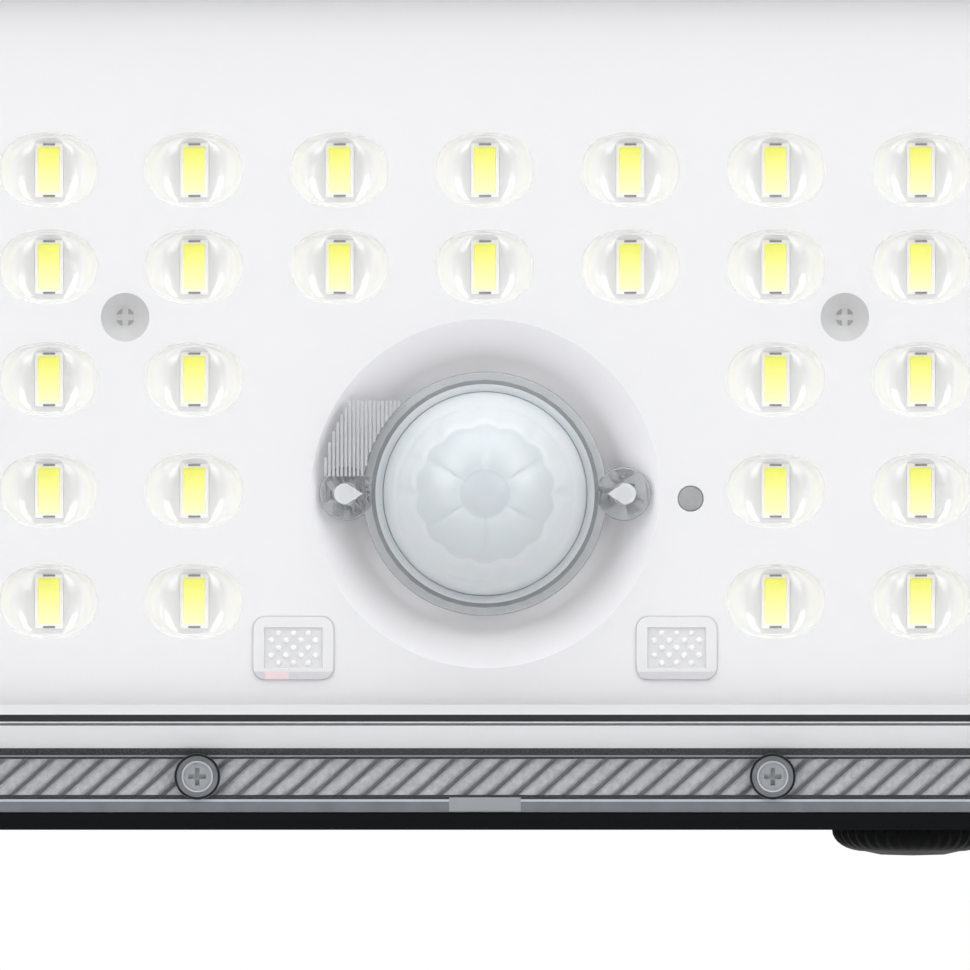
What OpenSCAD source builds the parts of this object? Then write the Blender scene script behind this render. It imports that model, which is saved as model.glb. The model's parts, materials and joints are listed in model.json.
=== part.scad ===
// Solar flood light: a lamp head that tilts on a wall bracket, with a hinged solar panel on top.
// X runs to the right, Y runs back to the wall and Z runs up. The origin is the centre of the wall
// plate's back face, and the lamp shines towards -Y. In the head's own pieces, Y is counted from the
// front of the cover's flange. Each piece is one node.

/* [Lamp head] */
// Width of the head over its rim
head_w = 200; // [167:1:260]
// Height of the head over its rim
head_h = 100; // [94:1:140]
// Depth from the flange's front to the back of the housing
head_d = 30; // [28:1:45]
// Corner radius of the rim
head_r = 13.8; // [11:0.1:20]
// Width of the rim that frames the clear cover
rim_w = 1.8; // [1.5:0.1:3]
// Depth of the rim, from the flange's front
rim_d = 9; // [7:0.5:10]
// How far the rim stands in front of the flange
rim_lip = 0.4; // [0:0.1:1]
// How far the body lies inside the rim
body_inset = 2.7; // [1:0.1:3]
// Wall of the rear housing
shell_t = 2; // [1.6:0.1:2.6]
// Rounding of the housing's back edge
back_round = 2.6; // [1:0.1:3]

/* [Lens cover] */
// Thickness of the flange
flange_t = 2.2; // [1.6:0.1:3]
// Height of the raised window over the flange
window_rise = 7; // [6.5:0.1:10]
// Thickness of the window and of its side wall
window_t = 2; // [1.5:0.1:2.4]
// Distance from the flange's edge to the window's front edge
window_inset = 9.7; // [8:0.1:12]
// Distance from the flange's edge to the foot of the side wall
foot_inset = 6.6; // [6:0.1:7.5]
// Corner radius of the window's front
window_r = 5; // [3:0.5:8]
// Corner radius at the foot of the side wall
foot_r = 8; // [5:0.5:10]
// Thickness of the gasket under the flange
gasket_t = 0.8; // [0.5:0.1:1.5]

/* [Cover screws] */
// Distance from the flange's edge to the screws
screw_inset = 3.7; // [3.4:0.1:4]
// Place of the two inner screws, from the middle
screw_x = 29.7; // [20:0.1:60]
// Radius of the raised boss around each screw
screw_boss_r = 2.4; // [2.1:0.1:2.6]
// Radius of the screw's head
screw_head_r = 1.5; // [1.3:0.1:1.7]
// Radius of the screw's shank
screw_r = 1; // [0.8:0.1:1.1]

/* [LEDs] */
// Distance between the columns
led_pitch = 15; // [12:0.5:20]
// Width of a package
led_w = 3; // [2:0.1:3.5]
// Height of a package
led_h = 5.7; // [4:0.1:6]
// Thickness of a package
led_t = 0.9; // [0.6:0.1:1.2]
// Border of the package around its phosphor
led_border = 0.4; // [0.2:0.05:0.6]
// Width of a reflector cup's mouth
cup_w = 10; // [7:0.1:11]
// Height of a reflector cup's mouth
cup_h = 7.6; // [7:0.1:8]
// Heights of the rows over the motion sensor's centre
led_rows = [33.4, 23.4, 11.8, 0.3, -11.1];

/* [Motion sensor] */
// Height of the sensor's centre over the bottom of the rim
pir_rise = 34.7; // [33:0.1:40]
// Radius of the lens dome
dome_r = 10.5; // [9:0.1:11]
// Thickness of the lens dome
dome_t = 0.7; // [0.5:0.1:1.2]
// Outer radius of the ring that holds the lens
ring_r = 12.6; // [11.9:0.1:13]
// Distance from the centre to each ear's screw
ear_x = 14.3; // [14.2:0.1:15]
// Radius of the ears
ear_r = 2.8; // [2.2:0.1:2.9]
// Radius of the reflector's dish at its mouth
dish_r = 18; // [17:0.1:18.5]
// Radius of the dish's floor
dish_floor_r = 13.4; // [13:0.1:14]

/* [Reflector] */
// Distance of the reflector's screws from the middle
post_x = 37.1; // [36:0.1:38]
// Height of the reflector's screws over the motion sensor
post_rise = 18.2; // [17.5:0.1:19]
// Place of the light sensor beside the motion sensor
eye_x = 21.2; // [21:0.1:24]
// Width of a dotted window
pane_w = 8.3; // [6:0.1:8.5]
// Height of a dotted window
pane_h = 6.5; // [5:0.1:6.6]
// Distance of the dotted windows from the middle
pane_x = 19.75; // [19.5:0.05:20.5]
// Drop of the dotted windows below the motion sensor
pane_drop = 15.9; // [15.5:0.1:16.5]

/* [Battery and electronics] */
// Diameter of a battery cell
cell_d = 18.4; // [14:0.1:18.6]
// Length of a battery cell
cell_l = 65; // [50:0.5:66]
// Width of the controller board
ctrl_w = 120; // [115:1:130]
// Height of the controller board
ctrl_h = 34; // [30:0.5:36]

/* [Mode knob] */
// Place of the knob to the right of the middle
knob_x = 44.4; // [40:0.1:46]
// Radius of the knob
knob_r = 8.35; // [7:0.05:8.9]
// Height of the knob
knob_h = 5.3; // [4:0.1:8]
// Radius of the switch's shaft
shaft_r = 3; // [2:0.1:3]

/* [Solar panel] */
// Depth of the panel's frame
panel_d = 70; // [60:1:84]
// Thickness of the panel's frame
panel_t = 10; // [9:0.5:14]
// Slope of the panel at rest
panel_slope = 25; // [20:1:40]
// Distance of the panel's hinges from the middle
hinge_x = 62; // [50:1:70]
// Radius of the panel's hinge pins
pin_r = 2; // [1.5:0.1:2.2]
// Rows of cells
cell_rows = 2; // [1:1:3]
// Columns of cells
cell_columns = 12; // [8:1:14]

/* [Wall bracket] */
// Width of the wall plate
plate_w = 100; // [96:1:140]
// Height of the wall plate
plate_h = 60; // [56:1:80]
// Thickness of the wall plate and of its cheeks
plate_t = 4; // [3:0.5:5]
// Distance between the wall screws' holes across the plate
hole_span_x = 80; // [60:1:84]
// Distance between the wall screws' holes up the plate
hole_span_z = 40; // [30:1:44]
// Radius of the wall screws' holes
hole_r = 2.5; // [2:0.1:3]
// Distance from the wall to the tilt axis
pivot_reach = 50; // [44:1:60]
// Width of the lug that the head tilts on
lug_w = 16; // [12:1:17]
// Radius of the lug and of the cheeks' ends
lug_r = 9; // [8:0.5:10]
// Thickness of the pad that carries the lug
lug_pad_t = 2; // [1.5:0.1:3]
// Radius of the tilt bolt
bolt_r = 3; // [2.5:0.1:4]
// Radius of the clamp knob
clamp_r = 11; // [10:0.5:13]

/* [Hidden] */
$fn = 64;
// Steps in the quarter turn of a large rounded corner, and of a cup's
CORNER_STEPS = 9;
CUP_STEPS = 4;
// Clearance of a shaft or pin that turns in its bore
run_gap = 0.05;
// Clearance of a piece that drops into its seat
seat_gap = 0.1;
// Overshoot of a cut past the face that it opens
over = 0.5;

// Outline of the cover and of the housing
flange_w = head_w - 2 * rim_w;
flange_h = head_h - 2 * rim_w;
flange_r = head_r - rim_w;
window_w = flange_w - 2 * window_inset;
window_h = flange_h - 2 * window_inset;
foot_w = flange_w - 2 * foot_inset;
foot_h = flange_h - 2 * foot_inset;
body_w = head_w - 2 * body_inset;
body_h = head_h - 2 * body_inset;
body_r = head_r - body_inset;
inner_w = body_w - 2 * shell_t;
inner_h = body_h - 2 * shell_t;
inner_r = body_r - shell_t;
ledge_t = 2;
ledge_y = flange_t + gasket_t;
floor_y = head_d - shell_t;
boss_r = 2.6;
pilot_r = screw_r + run_gap;
boss_d = 9;

// Layers behind the window, from front to back
window_back = window_t - window_rise;
mirror_gap = 0.8;
mirror_y = window_back + mirror_gap;
mirror_t = 1.2;
mirror_inset = 2.2;
mirror_w = window_w - 2 * mirror_inset;
mirror_h = window_h - 2 * mirror_inset;
mirror_r = window_r - 1;
board_y = 0.6;
board_t = 1.6;
board_back = board_y + board_t;
board_w = mirror_w - 1;
board_h = mirror_h - 1;
cup_wall = 0.8;
cup_r = 3.4;

// Motion sensor
pir_z = pir_rise - head_h / 2;
eye_z = pir_z - 0.5;
eye_r = 1.35;
dome_y = window_back + 0.4;
lens_flange_r = 11.4;
lens_flange_t = 0.8;
ring_y = window_back + lens_flange_t;
ring_t = 1.8;
ring_in_r = 9.8;
ear_head_r = 1.7;
ear_head_t = 1.2;
can_r = 4.55;
can_h = 4.2;
pin_wire_r = 0.25;

// LED places
led_columns = floor((window_w / 2 - cup_w / 2 - 6) / led_pitch);
keep_x = pane_x + pane_w / 2 + 1;
led_sites = [
    for (row = led_rows, i = [-led_columns : led_columns])
        if (row - cup_h / 2 > dish_r || abs(i) * led_pitch - cup_w / 2 > keep_x)
            [i * led_pitch, pir_z + row]
];

// Cover screws: four in the corners, one at each end, two along the top and two along the bottom
edge_x = flange_w / 2 - screw_inset;
edge_z = flange_h / 2 - screw_inset;
corner_in = flange_r - (flange_r - screw_inset) * cos(45);
corner_x = flange_w / 2 - corner_in;
corner_z = flange_h / 2 - corner_in;
screw_sites = [
    for (s = [-1, 1], t = [-1, 1]) [s * corner_x, t * corner_z],
    for (s = [-1, 1], t = [-1, 1]) [s * screw_x, t * edge_z],
    for (s = [-1, 1]) [s * edge_x, 0]
];
screw_head_t = 1.2;
screw_seat_y = 0.8;
screw_l = 11;

// Reflector screws and board posts
post_z = pir_z + post_rise;
post_r = 4;
corner_post_r = 3;
corner_post_x = board_w / 2 - 5;
corner_post_z = board_h / 2 - 5;
post_head_r = 2;
post_head_t = 1.1;
post_seat_y = mirror_y + 2.7;
post_screw_l = 12;

// Battery, in line along the top of the housing
tray_floor = 1.5;
tray_wall = 1.2;
tab_t = 0.4;
cell_r = cell_d / 2;
cell_gap = 4;
cell_y = floor_y - tray_floor - seat_gap - cell_r;
tray_h = cell_d + 2 * seat_gap + 2 * tray_wall;
tray_l = 2 * cell_l + cell_gap + 2 * (tab_t + seat_gap + tray_wall + 0.6);
tray_d = 12;
battery_z = inner_h / 2 - tray_h / 2 - 4.3;
door_t = 2;
door_w = tray_l + 15;
door_h = tray_h + 5.2;
door_r = 5;
door_hole_w = tray_l - 10;
door_hole_h = tray_h - 5;
door_screw_x = tray_l / 2 + 3.6;
door_screw_z = door_hole_h / 2;

// Controller board and mode switch
switch_d = 12;
switch_w = 12;
switch_h = 10;
switch_air = 2.4;
ctrl_t = 1.6;
ctrl_back = floor_y - switch_air - switch_d;
ctrl_front = ctrl_back - ctrl_t;
ctrl_z = ctrl_h / 2 - inner_h / 2 + 4;
ctrl_post_x = ctrl_w / 2 - 6;
ctrl_post_z = ctrl_h / 2 - 4;
ctrl_post_r = 3;
knob_y = ctrl_back + switch_d / 2;
knob_gap = 0.3;
knob_top = -body_h / 2 - knob_gap;
knob_dome = 0.8;
knob_ribs = 36;
groove_r = 0.45;
shaft_up = 4.9;
shaft_down = 2.9;
switch_z = -inner_h / 2 + 0.4;
seal_r = shaft_r + 1.6;
seal_t = 1.35;
vent_x = 66;
vent_z = -22;

// Solar panel
hinge_r = 4;
hinge_lift = 5.7;
hinge_y = 12;
hinge_z = head_h / 2 + hinge_lift;
knuckle_w = 10;
ear_w = 5;
side_gap = 0.2;
panel_w = head_w;
panel_r = 5;
panel_start = hinge_r + 1.5;
panel_low = -3;
panel_high = panel_low + panel_t;
frame_lip = 3;
frame_ledge = 3;
frame_floor = 1.6;
glass_t = 3;
glass_drop = 0.3;
ribbon_t = 0.15;
wafer_t = 0.3;
sheet_t = 1;
glass_low = panel_high - glass_drop - glass_t;
wafer_low = glass_low - ribbon_t - wafer_t;
sheet_low = wafer_low - sheet_t;
stack_w = panel_w - 2 * (frame_lip + seat_gap);
stack_d = panel_d - 2 * (frame_lip + seat_gap);
stack_mid = panel_start + panel_d / 2;
wafer_gap = 0.8;
wafer_w = (stack_w - 8) / cell_columns - wafer_gap;
wafer_d = (stack_d - 6) / cell_rows - wafer_gap;
box_w = 44;
box_d = 30;
box_t = 6;
box_screw_x = box_w / 2 - 4;

// Wall bracket and tilt joint
pivot_back = 16;
front_y = -(pivot_reach + pivot_back + head_d);
washer_t = 0.8;
washer_r = 8;
cheek_in = lug_w / 2 + washer_t;
cheek_out = cheek_in + plate_t;
web_d = 6;
clamp_washer_t = 1.2;
clamp_washer_r = 6.2;
clamp_start = cheek_out + clamp_washer_t;
clamp_l = 15;
insert_r = 4.5;
insert_l = 10;
bolt_end = clamp_start + 11;
bolt_head_t = 3.4;
bolt_head_r = 5.8;

door_bosses = [for (s = [-1, 1], t = [-1, 1]) [s * door_screw_x, battery_z + t * door_screw_z]];
corner_posts = [for (s = [-1, 1], t = [-1, 1]) [s * corner_post_x, t * corner_post_z]];
ctrl_posts = [for (s = [-1, 1], t = [-1, 1]) [s * ctrl_post_x, ctrl_z + t * ctrl_post_z]];

// ---- Shared shapes ----

// One quarter turn of a rounded corner
function corner_arc(x, y, r, start, steps) = [
    for (i = [0 : steps]) let (a = start + 90 * i / steps) [x + r * cos(a), y + r * sin(a)]
];

// A rounded rectangle, centred
module rounded(w, h, r, steps = CORNER_STEPS) {
    x = w / 2 - r;
    y = h / 2 - r;
    polygon(concat(
        corner_arc(x, y, r, 0, steps),
        corner_arc(-x, y, r, 90, steps),
        corner_arc(-x, -y, r, 180, steps),
        corner_arc(x, -y, r, 270, steps)
    ));
}

// Extrudes an outline drawn in X and Z from y0 back to y1
module along_y(y0, y1) {
    translate([0, y1, 0]) rotate([90, 0, 0]) linear_extrude(y1 - y0) children();
}

// A round bar along Y
module rod_y(x, z, y0, y1, r) {
    translate([x, y1, z]) rotate([90, 0, 0]) cylinder(h = y1 - y0, r = r);
}

// A cone along Y, with its radius at each end
module cone_y(x, z, y0, y1, r0, r1) {
    translate([x, y1, z]) rotate([90, 0, 0]) cylinder(h = y1 - y0, r1 = r1, r2 = r0);
}

// A round bar along X
module rod_x(x0, x1, y, z, r) {
    translate([x0, y, z]) rotate([0, 90, 0]) cylinder(h = x1 - x0, r = r);
}

// A block centred on x and z, from y0 back to y1
module block_y(x, z, y0, y1, w, h) {
    translate([x - w / 2, y0, z - h / 2]) cube([w, y1 - y0, h]);
}

// A pan-head screw along Y, with a cross recess in the head
module screw_y(x, z, seat_y, head_r, head_t, shank_r, length) {
    slot_w = head_r * 0.3;
    difference() {
        rod_y(x, z, seat_y - head_t, seat_y, head_r);
        block_y(x, z, seat_y - head_t - over, seat_y - head_t / 2, head_r * 1.2, slot_w);
        block_y(x, z, seat_y - head_t - over, seat_y - head_t / 2, slot_w, head_r * 1.2);
    }
    rod_y(x, z, seat_y, seat_y + length, shank_r);
}

// The lamp head's own frame: Y starts at the flange's front
module in_head() {
    translate([0, front_y, 0]) children();
}

// The panel's own frame: the hinge axis is the origin, and Y runs up the slope
module in_panel() {
    in_head() translate([0, hinge_y, hinge_z]) rotate([panel_slope, 0, 0]) children();
}

// ---- Wall bracket ----

module cheek_outline() {
    polygon([
        [-plate_t, -plate_h * 0.36],
        [-plate_t, plate_h * 0.36],
        [-pivot_reach, lug_r - 0.4],
        [-pivot_reach, 0.4 - lug_r]
    ]);
    translate([-pivot_reach, 0]) circle(r = lug_r);
}

// One cheek, drawn in Y and Z and extruded along X from x0
module cheek(x0) {
    translate([x0, 0, 0]) rotate([90, 0, 90]) linear_extrude(plate_t) cheek_outline();
}

module wall_bracket() {
    color("#1b1d1f") difference() {
        union() {
            along_y(-plate_t, 0) rounded(plate_w, plate_h, 8);
            cheek(cheek_in);
            cheek(-cheek_out);
            block_y(0, 0, -plate_t - web_d, -plate_t, 2 * cheek_in, plate_h * 0.5);
        }
        for (s = [-1, 1], t = [-1, 1])
            rod_y(s * hole_span_x / 2, t * hole_span_z / 2, -plate_t - over, over, hole_r);
        rod_x(-cheek_out - over, cheek_out + over, -pivot_reach, 0, bolt_r + run_gap);
    }
}

module friction_washers() {
    color("#3a3d40") for (x0 = [-cheek_in, lug_w / 2]) difference() {
        rod_x(x0, x0 + washer_t, -pivot_reach, 0, washer_r);
        rod_x(x0 - over, x0 + washer_t + over, -pivot_reach, 0, bolt_r + run_gap);
    }
}

module tilt_bolt() {
    color("#b4b8bb") {
        rod_x(-cheek_out, bolt_end, -pivot_reach, 0, bolt_r);
        translate([-cheek_out - bolt_head_t, -pivot_reach, 0]) rotate([0, 90, 0])
            cylinder(h = bolt_head_t, r = bolt_head_r, $fn = 6);
    }
}

module clamp_washer() {
    color("#c3c6c8") difference() {
        rod_x(cheek_out, clamp_start, -pivot_reach, 0, clamp_washer_r);
        rod_x(cheek_out - over, clamp_start + over, -pivot_reach, 0, bolt_r + run_gap);
    }
}

module clamp_knob() {
    lobes = 6;
    scallop_r = 4;
    color("#1b1d1f") difference() {
        union() {
            rod_x(clamp_start, clamp_start + 4, -pivot_reach, 0, insert_r + 2.5);
            rod_x(clamp_start + 3, clamp_start + clamp_l, -pivot_reach, 0, clamp_r);
        }
        for (i = [0 : lobes - 1]) let (a = 360 * i / lobes)
            rod_x(clamp_start + 2, clamp_start + clamp_l + over,
                  -pivot_reach + (clamp_r + 2) * cos(a), (clamp_r + 2) * sin(a), scallop_r);
        rod_x(clamp_start - over, clamp_start + insert_l + seat_gap, -pivot_reach, 0, insert_r + 0.02);
        rod_x(clamp_start, bolt_end + 1, -pivot_reach, 0, bolt_r + 0.4);
    }
}

module knob_insert() {
    color("#b8954a") difference() {
        rod_x(clamp_start, clamp_start + insert_l, -pivot_reach, 0, insert_r);
        rod_x(clamp_start - over, clamp_start + insert_l + over, -pivot_reach, 0, bolt_r + run_gap);
    }
}

// ---- Lamp head: housing ----

// The body's outer shape, with its back edge rounded
module housing_block() {
    slice = 0.02;
    hull() {
        along_y(ledge_y, ledge_y + slice) rounded(body_w, body_h, body_r);
        for (a = [0 : 22.5 : 90]) {
            inset = back_round * (1 - cos(a));
            y = head_d - back_round * (1 - sin(a));
            along_y(y - slice, y) rounded(body_w - 2 * inset, body_h - 2 * inset, body_r - inset);
        }
    }
}

// The lug that turns between the bracket's cheeks, on its pad
module tilt_lug() {
    color("#17191b") in_head() difference() {
        union() {
            block_y(0, 0, head_d, head_d + pivot_back, lug_w, 2 * lug_r - 0.8);
            rod_x(-lug_w / 2, lug_w / 2, head_d + pivot_back, 0, lug_r);
            along_y(head_d, head_d + lug_pad_t) rounded(lug_w + 8, 2 * lug_r + 10, 4);
        }
        rod_x(-lug_w, lug_w, head_d + pivot_back, 0, bolt_r + run_gap);
    }
}

// The ears that carry the panel's hinge, two at each end
module hinge_ears() {
    foot_z = body_h / 2;
    color("#17191b") in_head() difference() {
        for (s = [-1, 1], x0 = [-knuckle_w / 2 - side_gap - ear_w, knuckle_w / 2 + side_gap]) {
            rod_x(s * hinge_x + x0, s * hinge_x + x0 + ear_w, hinge_y, hinge_z, hinge_r);
            translate([s * hinge_x + x0, hinge_y - hinge_r + 0.2, foot_z])
                cube([ear_w, 2 * hinge_r - 0.4, hinge_z - foot_z]);
        }
        along_y(-rim_lip, rim_d) rounded(head_w, head_h, head_r);
        for (s = [-1, 1])
            rod_x(s * hinge_x - knuckle_w * 2, s * hinge_x + knuckle_w * 2, hinge_y, hinge_z, pin_r + run_gap);
    }
}

module rear_housing() {
    color("#17191b") in_head() difference() {
        union() {
            along_y(-rim_lip, rim_d) rounded(head_w, head_h, head_r);
            housing_block();
        }
        along_y(-rim_lip - over, ledge_y)
            rounded(flange_w + 2 * seat_gap, flange_h + 2 * seat_gap, flange_r + seat_gap);
        along_y(ledge_y - over, ledge_y + ledge_t + over) rounded(foot_w, foot_h, foot_r);
        along_y(ledge_y + ledge_t, floor_y) rounded(inner_w, inner_h, inner_r);
        for (p = screw_sites) rod_y(p[0], p[1], 0, ledge_y + boss_d - over, pilot_r);
        for (p = door_bosses) rod_y(p[0], p[1], floor_y - over, head_d + over, pilot_r);
        along_y(floor_y - over, head_d + over)
            translate([0, battery_z]) rounded(door_hole_w, door_hole_h, 3);
        translate([knob_x, knob_y, -body_h / 2 - over]) cylinder(h = shell_t + 2 * over, r = shaft_r + run_gap);
        translate([knob_x, knob_y, -body_h / 2 - over]) cylinder(h = seal_t + over, r = seal_r + seat_gap);
        rod_y(vent_x, vent_z, floor_y - over, head_d + over, 2.6);
    }
}

// The screw bosses and posts that stand inside the housing, cut to its inner walls
module housing_bosses() {
    color("#17191b") in_head() difference() {
        intersection() {
            along_y(ledge_y + ledge_t, floor_y) rounded(inner_w, inner_h, inner_r);
            union() {
                for (p = screw_sites) rod_y(p[0], p[1], ledge_y, ledge_y + boss_d, boss_r);
                for (s = [-1, 1]) rod_y(s * post_x, post_z, board_back, floor_y + over, post_r);
                for (p = corner_posts) rod_y(p[0], p[1], board_back, floor_y + over, corner_post_r);
                for (p = ctrl_posts) rod_y(p[0], p[1], ctrl_back, floor_y + over, ctrl_post_r);
                for (p = door_bosses) rod_y(p[0], p[1], floor_y - 4, floor_y + over, boss_r);
            }
        }
        for (p = screw_sites) rod_y(p[0], p[1], 0, ledge_y + boss_d - over, pilot_r);
        for (s = [-1, 1]) rod_y(s * post_x, post_z, 0, board_back + post_screw_l, pilot_r);
        for (p = ctrl_posts) rod_y(p[0], p[1], 0, ctrl_back + 7, pilot_r);
        for (p = door_bosses) rod_y(p[0], p[1], floor_y - 3.5, head_d + over, pilot_r);
        along_y(floor_y - 5, head_d + over)
            translate([0, battery_z]) rounded(door_hole_w, door_hole_h, 3);
    }
}

module vent_plug() {
    color("#2b2d2f") in_head() {
        rod_y(vent_x, vent_z, floor_y - 0.6, head_d, 2.55);
        rod_y(vent_x, vent_z, head_d, head_d + 1.2, 5);
    }
}

module battery_door() {
    color("#1b1d1f") in_head() difference() {
        union() {
            along_y(head_d, head_d + door_t) translate([0, battery_z]) rounded(door_w, door_h, door_r);
            along_y(floor_y + seat_gap, head_d) translate([0, battery_z])
                rounded(door_hole_w - 0.4, door_hole_h - 0.4, 2.8);
        }
        for (s = [-1, 1], t = [-1, 1])
            rod_y(s * door_screw_x, battery_z + t * door_screw_z, head_d - over, head_d + door_t + over,
                  screw_r + 0.15);
    }
}

module door_screws() {
    color("#9a9da0") in_head() for (s = [-1, 1], t = [-1, 1]) {
        rod_y(s * door_screw_x, battery_z + t * door_screw_z, floor_y - 2.5, head_d + door_t, screw_r);
        rod_y(s * door_screw_x, battery_z + t * door_screw_z, head_d + door_t, head_d + door_t + 1.3, 2);
    }
}

module panel_hinge_pins() {
    reach = knuckle_w / 2 + side_gap + ear_w;
    color("#b4b8bb") in_head() for (s = [-1, 1])
        rod_x(s * hinge_x - reach, s * hinge_x + reach, hinge_y, hinge_z, pin_r);
}

// ---- Lamp head: cover ----

// A solid that tapers from the window's outline at y0 to the foot's outline at y1, drawn in by inset
module window_block(y0, y1, front_w, front_h, back_w, back_h) {
    slice = 0.02;
    hull() {
        along_y(y0, y0 + slice) rounded(front_w, front_h, window_r);
        along_y(y1 - slice, y1) rounded(back_w, back_h, foot_r);
    }
}

module lens_cover() {
    draft = (window_inset - foot_inset) / window_rise;
    front_in = 2 * (window_t - draft * window_t);
    back_in = 2 * (window_t - draft * flange_t);
    color([0.85, 0.9, 0.93, 0.35]) in_head() difference() {
        union() {
            along_y(0, flange_t) rounded(flange_w, flange_h, flange_r);
            window_block(-window_rise, 0.1, window_w, window_h, foot_w, foot_h);
            for (p = screw_sites) rod_y(p[0], p[1], -0.6, 0.1, screw_boss_r);
        }
        difference() {
            window_block(window_back, flange_t + 0.2, window_w - front_in, window_h - front_in,
                         foot_w - back_in, foot_h - back_in);
            for (s = [-1, 1]) rod_y(s * ear_x, pir_z, window_back - over, ring_y, ear_r);
        }
        for (p = screw_sites) {
            rod_y(p[0], p[1], -1, screw_seat_y, screw_head_r + 0.15);
            rod_y(p[0], p[1], 0, flange_t + over, screw_r + 0.15);
        }
        rod_y(0, pir_z, -window_rise - over, window_back + over, dome_r + 0.4);
        for (s = [-1, 1]) rod_y(s * ear_x, pir_z, window_back - 1, ring_y + over, 0.85);
    }
}

module cover_gasket() {
    color("#2e3032") in_head() difference() {
        along_y(flange_t, ledge_y) rounded(flange_w - 0.6, flange_h - 0.6, flange_r - 0.3);
        along_y(flange_t - over, ledge_y + over) rounded(foot_w, foot_h, foot_r);
        for (p = screw_sites) rod_y(p[0], p[1], flange_t - over, ledge_y + over, screw_r + 0.15);
    }
}

module cover_screws() {
    color("#8b9094") in_head() for (p = screw_sites)
        screw_y(p[0], p[1], screw_seat_y, screw_head_r, screw_head_t, screw_r, screw_l - 1);
}

// ---- Lamp head: reflector and LEDs ----

module cup_outlines(grow_w, grow_h) {
    for (p = led_sites) translate(p) rounded(cup_w + grow_w, cup_h + grow_h, cup_r, CUP_STEPS);
}

module reflector() {
    skirt_t = 1.2;
    dish_t = 1.2;
    color("#f1f1f3") in_head() difference() {
        union() {
            along_y(mirror_y, mirror_y + mirror_t) rounded(mirror_w, mirror_h, mirror_r);
            along_y(mirror_y + mirror_t - 0.1, board_y) {
                difference() {
                    rounded(mirror_w, mirror_h, mirror_r);
                    rounded(mirror_w - 2 * skirt_t, mirror_h - 2 * skirt_t, mirror_r - skirt_t);
                }
                cup_outlines(2 * cup_wall, 2 * cup_wall);
                for (s = [-1, 1]) translate([s * post_x, post_z]) circle(r = post_head_r + 1.5);
            }
            cone_y(0, pir_z, mirror_y, board_y, dish_r + dish_t, dish_floor_r + dish_t);
        }
        along_y(mirror_y - over, board_y + over) cup_outlines(0, 0);
        cone_y(0, pir_z, mirror_y - 0.01, board_y + 0.01, dish_r, dish_floor_r);
        for (s = [-1, 1]) {
            rod_y(s * ear_x, pir_z, mirror_y - over, board_y + over, ear_r + 0.4);
            cone_y(s * post_x, post_z, mirror_y - 0.01, post_seat_y, 2.5, post_head_r + 0.15);
            rod_y(s * post_x, post_z, mirror_y, board_y + over, screw_r + 0.2);
            block_y(s * pane_x, pir_z - pane_drop, mirror_y - over, mirror_y + mirror_t + over,
                    pane_w + 2 * seat_gap, pane_h + 2 * seat_gap);
        }
        rod_y(eye_x, eye_z, mirror_y - over, mirror_y + mirror_t + over, eye_r);
    }
}

module reflector_screws() {
    color("#6f7478") in_head() for (s = [-1, 1])
        screw_y(s * post_x, post_z, post_seat_y, post_head_r, post_head_t, screw_r, post_screw_l);
}

module led_board() {
    color("#e8eaec") in_head() difference() {
        along_y(board_y, board_back) rounded(board_w, board_h, mirror_r);
        for (s = [-1, 1]) rod_y(s * post_x, post_z, board_y - over, board_back + over, screw_r + 0.2);
        for (a = [90, 210, 330])
            rod_y(2.5 * cos(a), pir_z + 2.5 * sin(a), board_y - over, board_back + over, pin_wire_r + seat_gap);
    }
}

module led_packages() {
    pocket = 0.25;
    color("#f6f6f0") in_head() for (p = led_sites) difference() {
        block_y(p[0], p[1], board_y - led_t, board_y, led_w, led_h);
        block_y(p[0], p[1], board_y - led_t - over, board_y - led_t + pocket,
                led_w - 2 * led_border, led_h - 2.5 * led_border);
    }
}

module led_phosphor() {
    pocket = 0.25;
    color("#f6f58c") in_head() for (p = led_sites)
        block_y(p[0], p[1], board_y - led_t, board_y - led_t + pocket,
                led_w - 2 * led_border, led_h - 2.5 * led_border);
}

// ---- Lamp head: sensors and windows ----

module pir_lens() {
    color("#dfe5ea") in_head() translate([0, dome_y, pir_z]) {
        intersection() {
            difference() {
                sphere(r = dome_r);
                sphere(r = dome_r - dome_t);
            }
            translate([-dome_r - 1, -dome_r - 1, -dome_r - 1])
                cube([2 * dome_r + 2, dome_r + 1, 2 * dome_r + 2]);
        }
        difference() {
            rod_y(0, 0, window_back - dome_y, ring_y - dome_y, lens_flange_r);
            rod_y(0, 0, window_back - dome_y - over, ring_y - dome_y + over, dome_r - dome_t);
        }
    }
}

module pir_ring() {
    color([0.6, 0.64, 0.66, 0.6]) in_head() difference() {
        union() {
            rod_y(0, pir_z, ring_y, ring_y + ring_t, ring_r);
            for (s = [-1, 1]) rod_y(s * ear_x, pir_z, ring_y, ring_y + ring_t, ear_r);
        }
        rod_y(0, pir_z, ring_y - over, ring_y + ring_t + over, ring_in_r);
        for (s = [-1, 1]) rod_y(s * ear_x, pir_z, ring_y - over, ring_y + ring_t + over, 0.95);
    }
}

module pir_screws() {
    back = ring_y + ring_t;
    color("#c9ccce") in_head() for (s = [-1, 1]) {
        rod_y(s * ear_x, pir_z, window_back - 0.8, back, 0.8);
        rod_y(s * ear_x, pir_z, back, back + ear_head_t, ear_head_r);
    }
}

module pir_sensor() {
    color("#c3c6c8") in_head() {
        difference() {
            rod_y(0, pir_z, board_y - can_h, board_y, can_r);
            block_y(0, pir_z, board_y - can_h - over, board_y - can_h + 0.3, 4, 3);
        }
        for (a = [90, 210, 330])
            rod_y(2.5 * cos(a), pir_z + 2.5 * sin(a), board_y - pin_wire_r, board_back + 1, pin_wire_r);
    }
}

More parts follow.
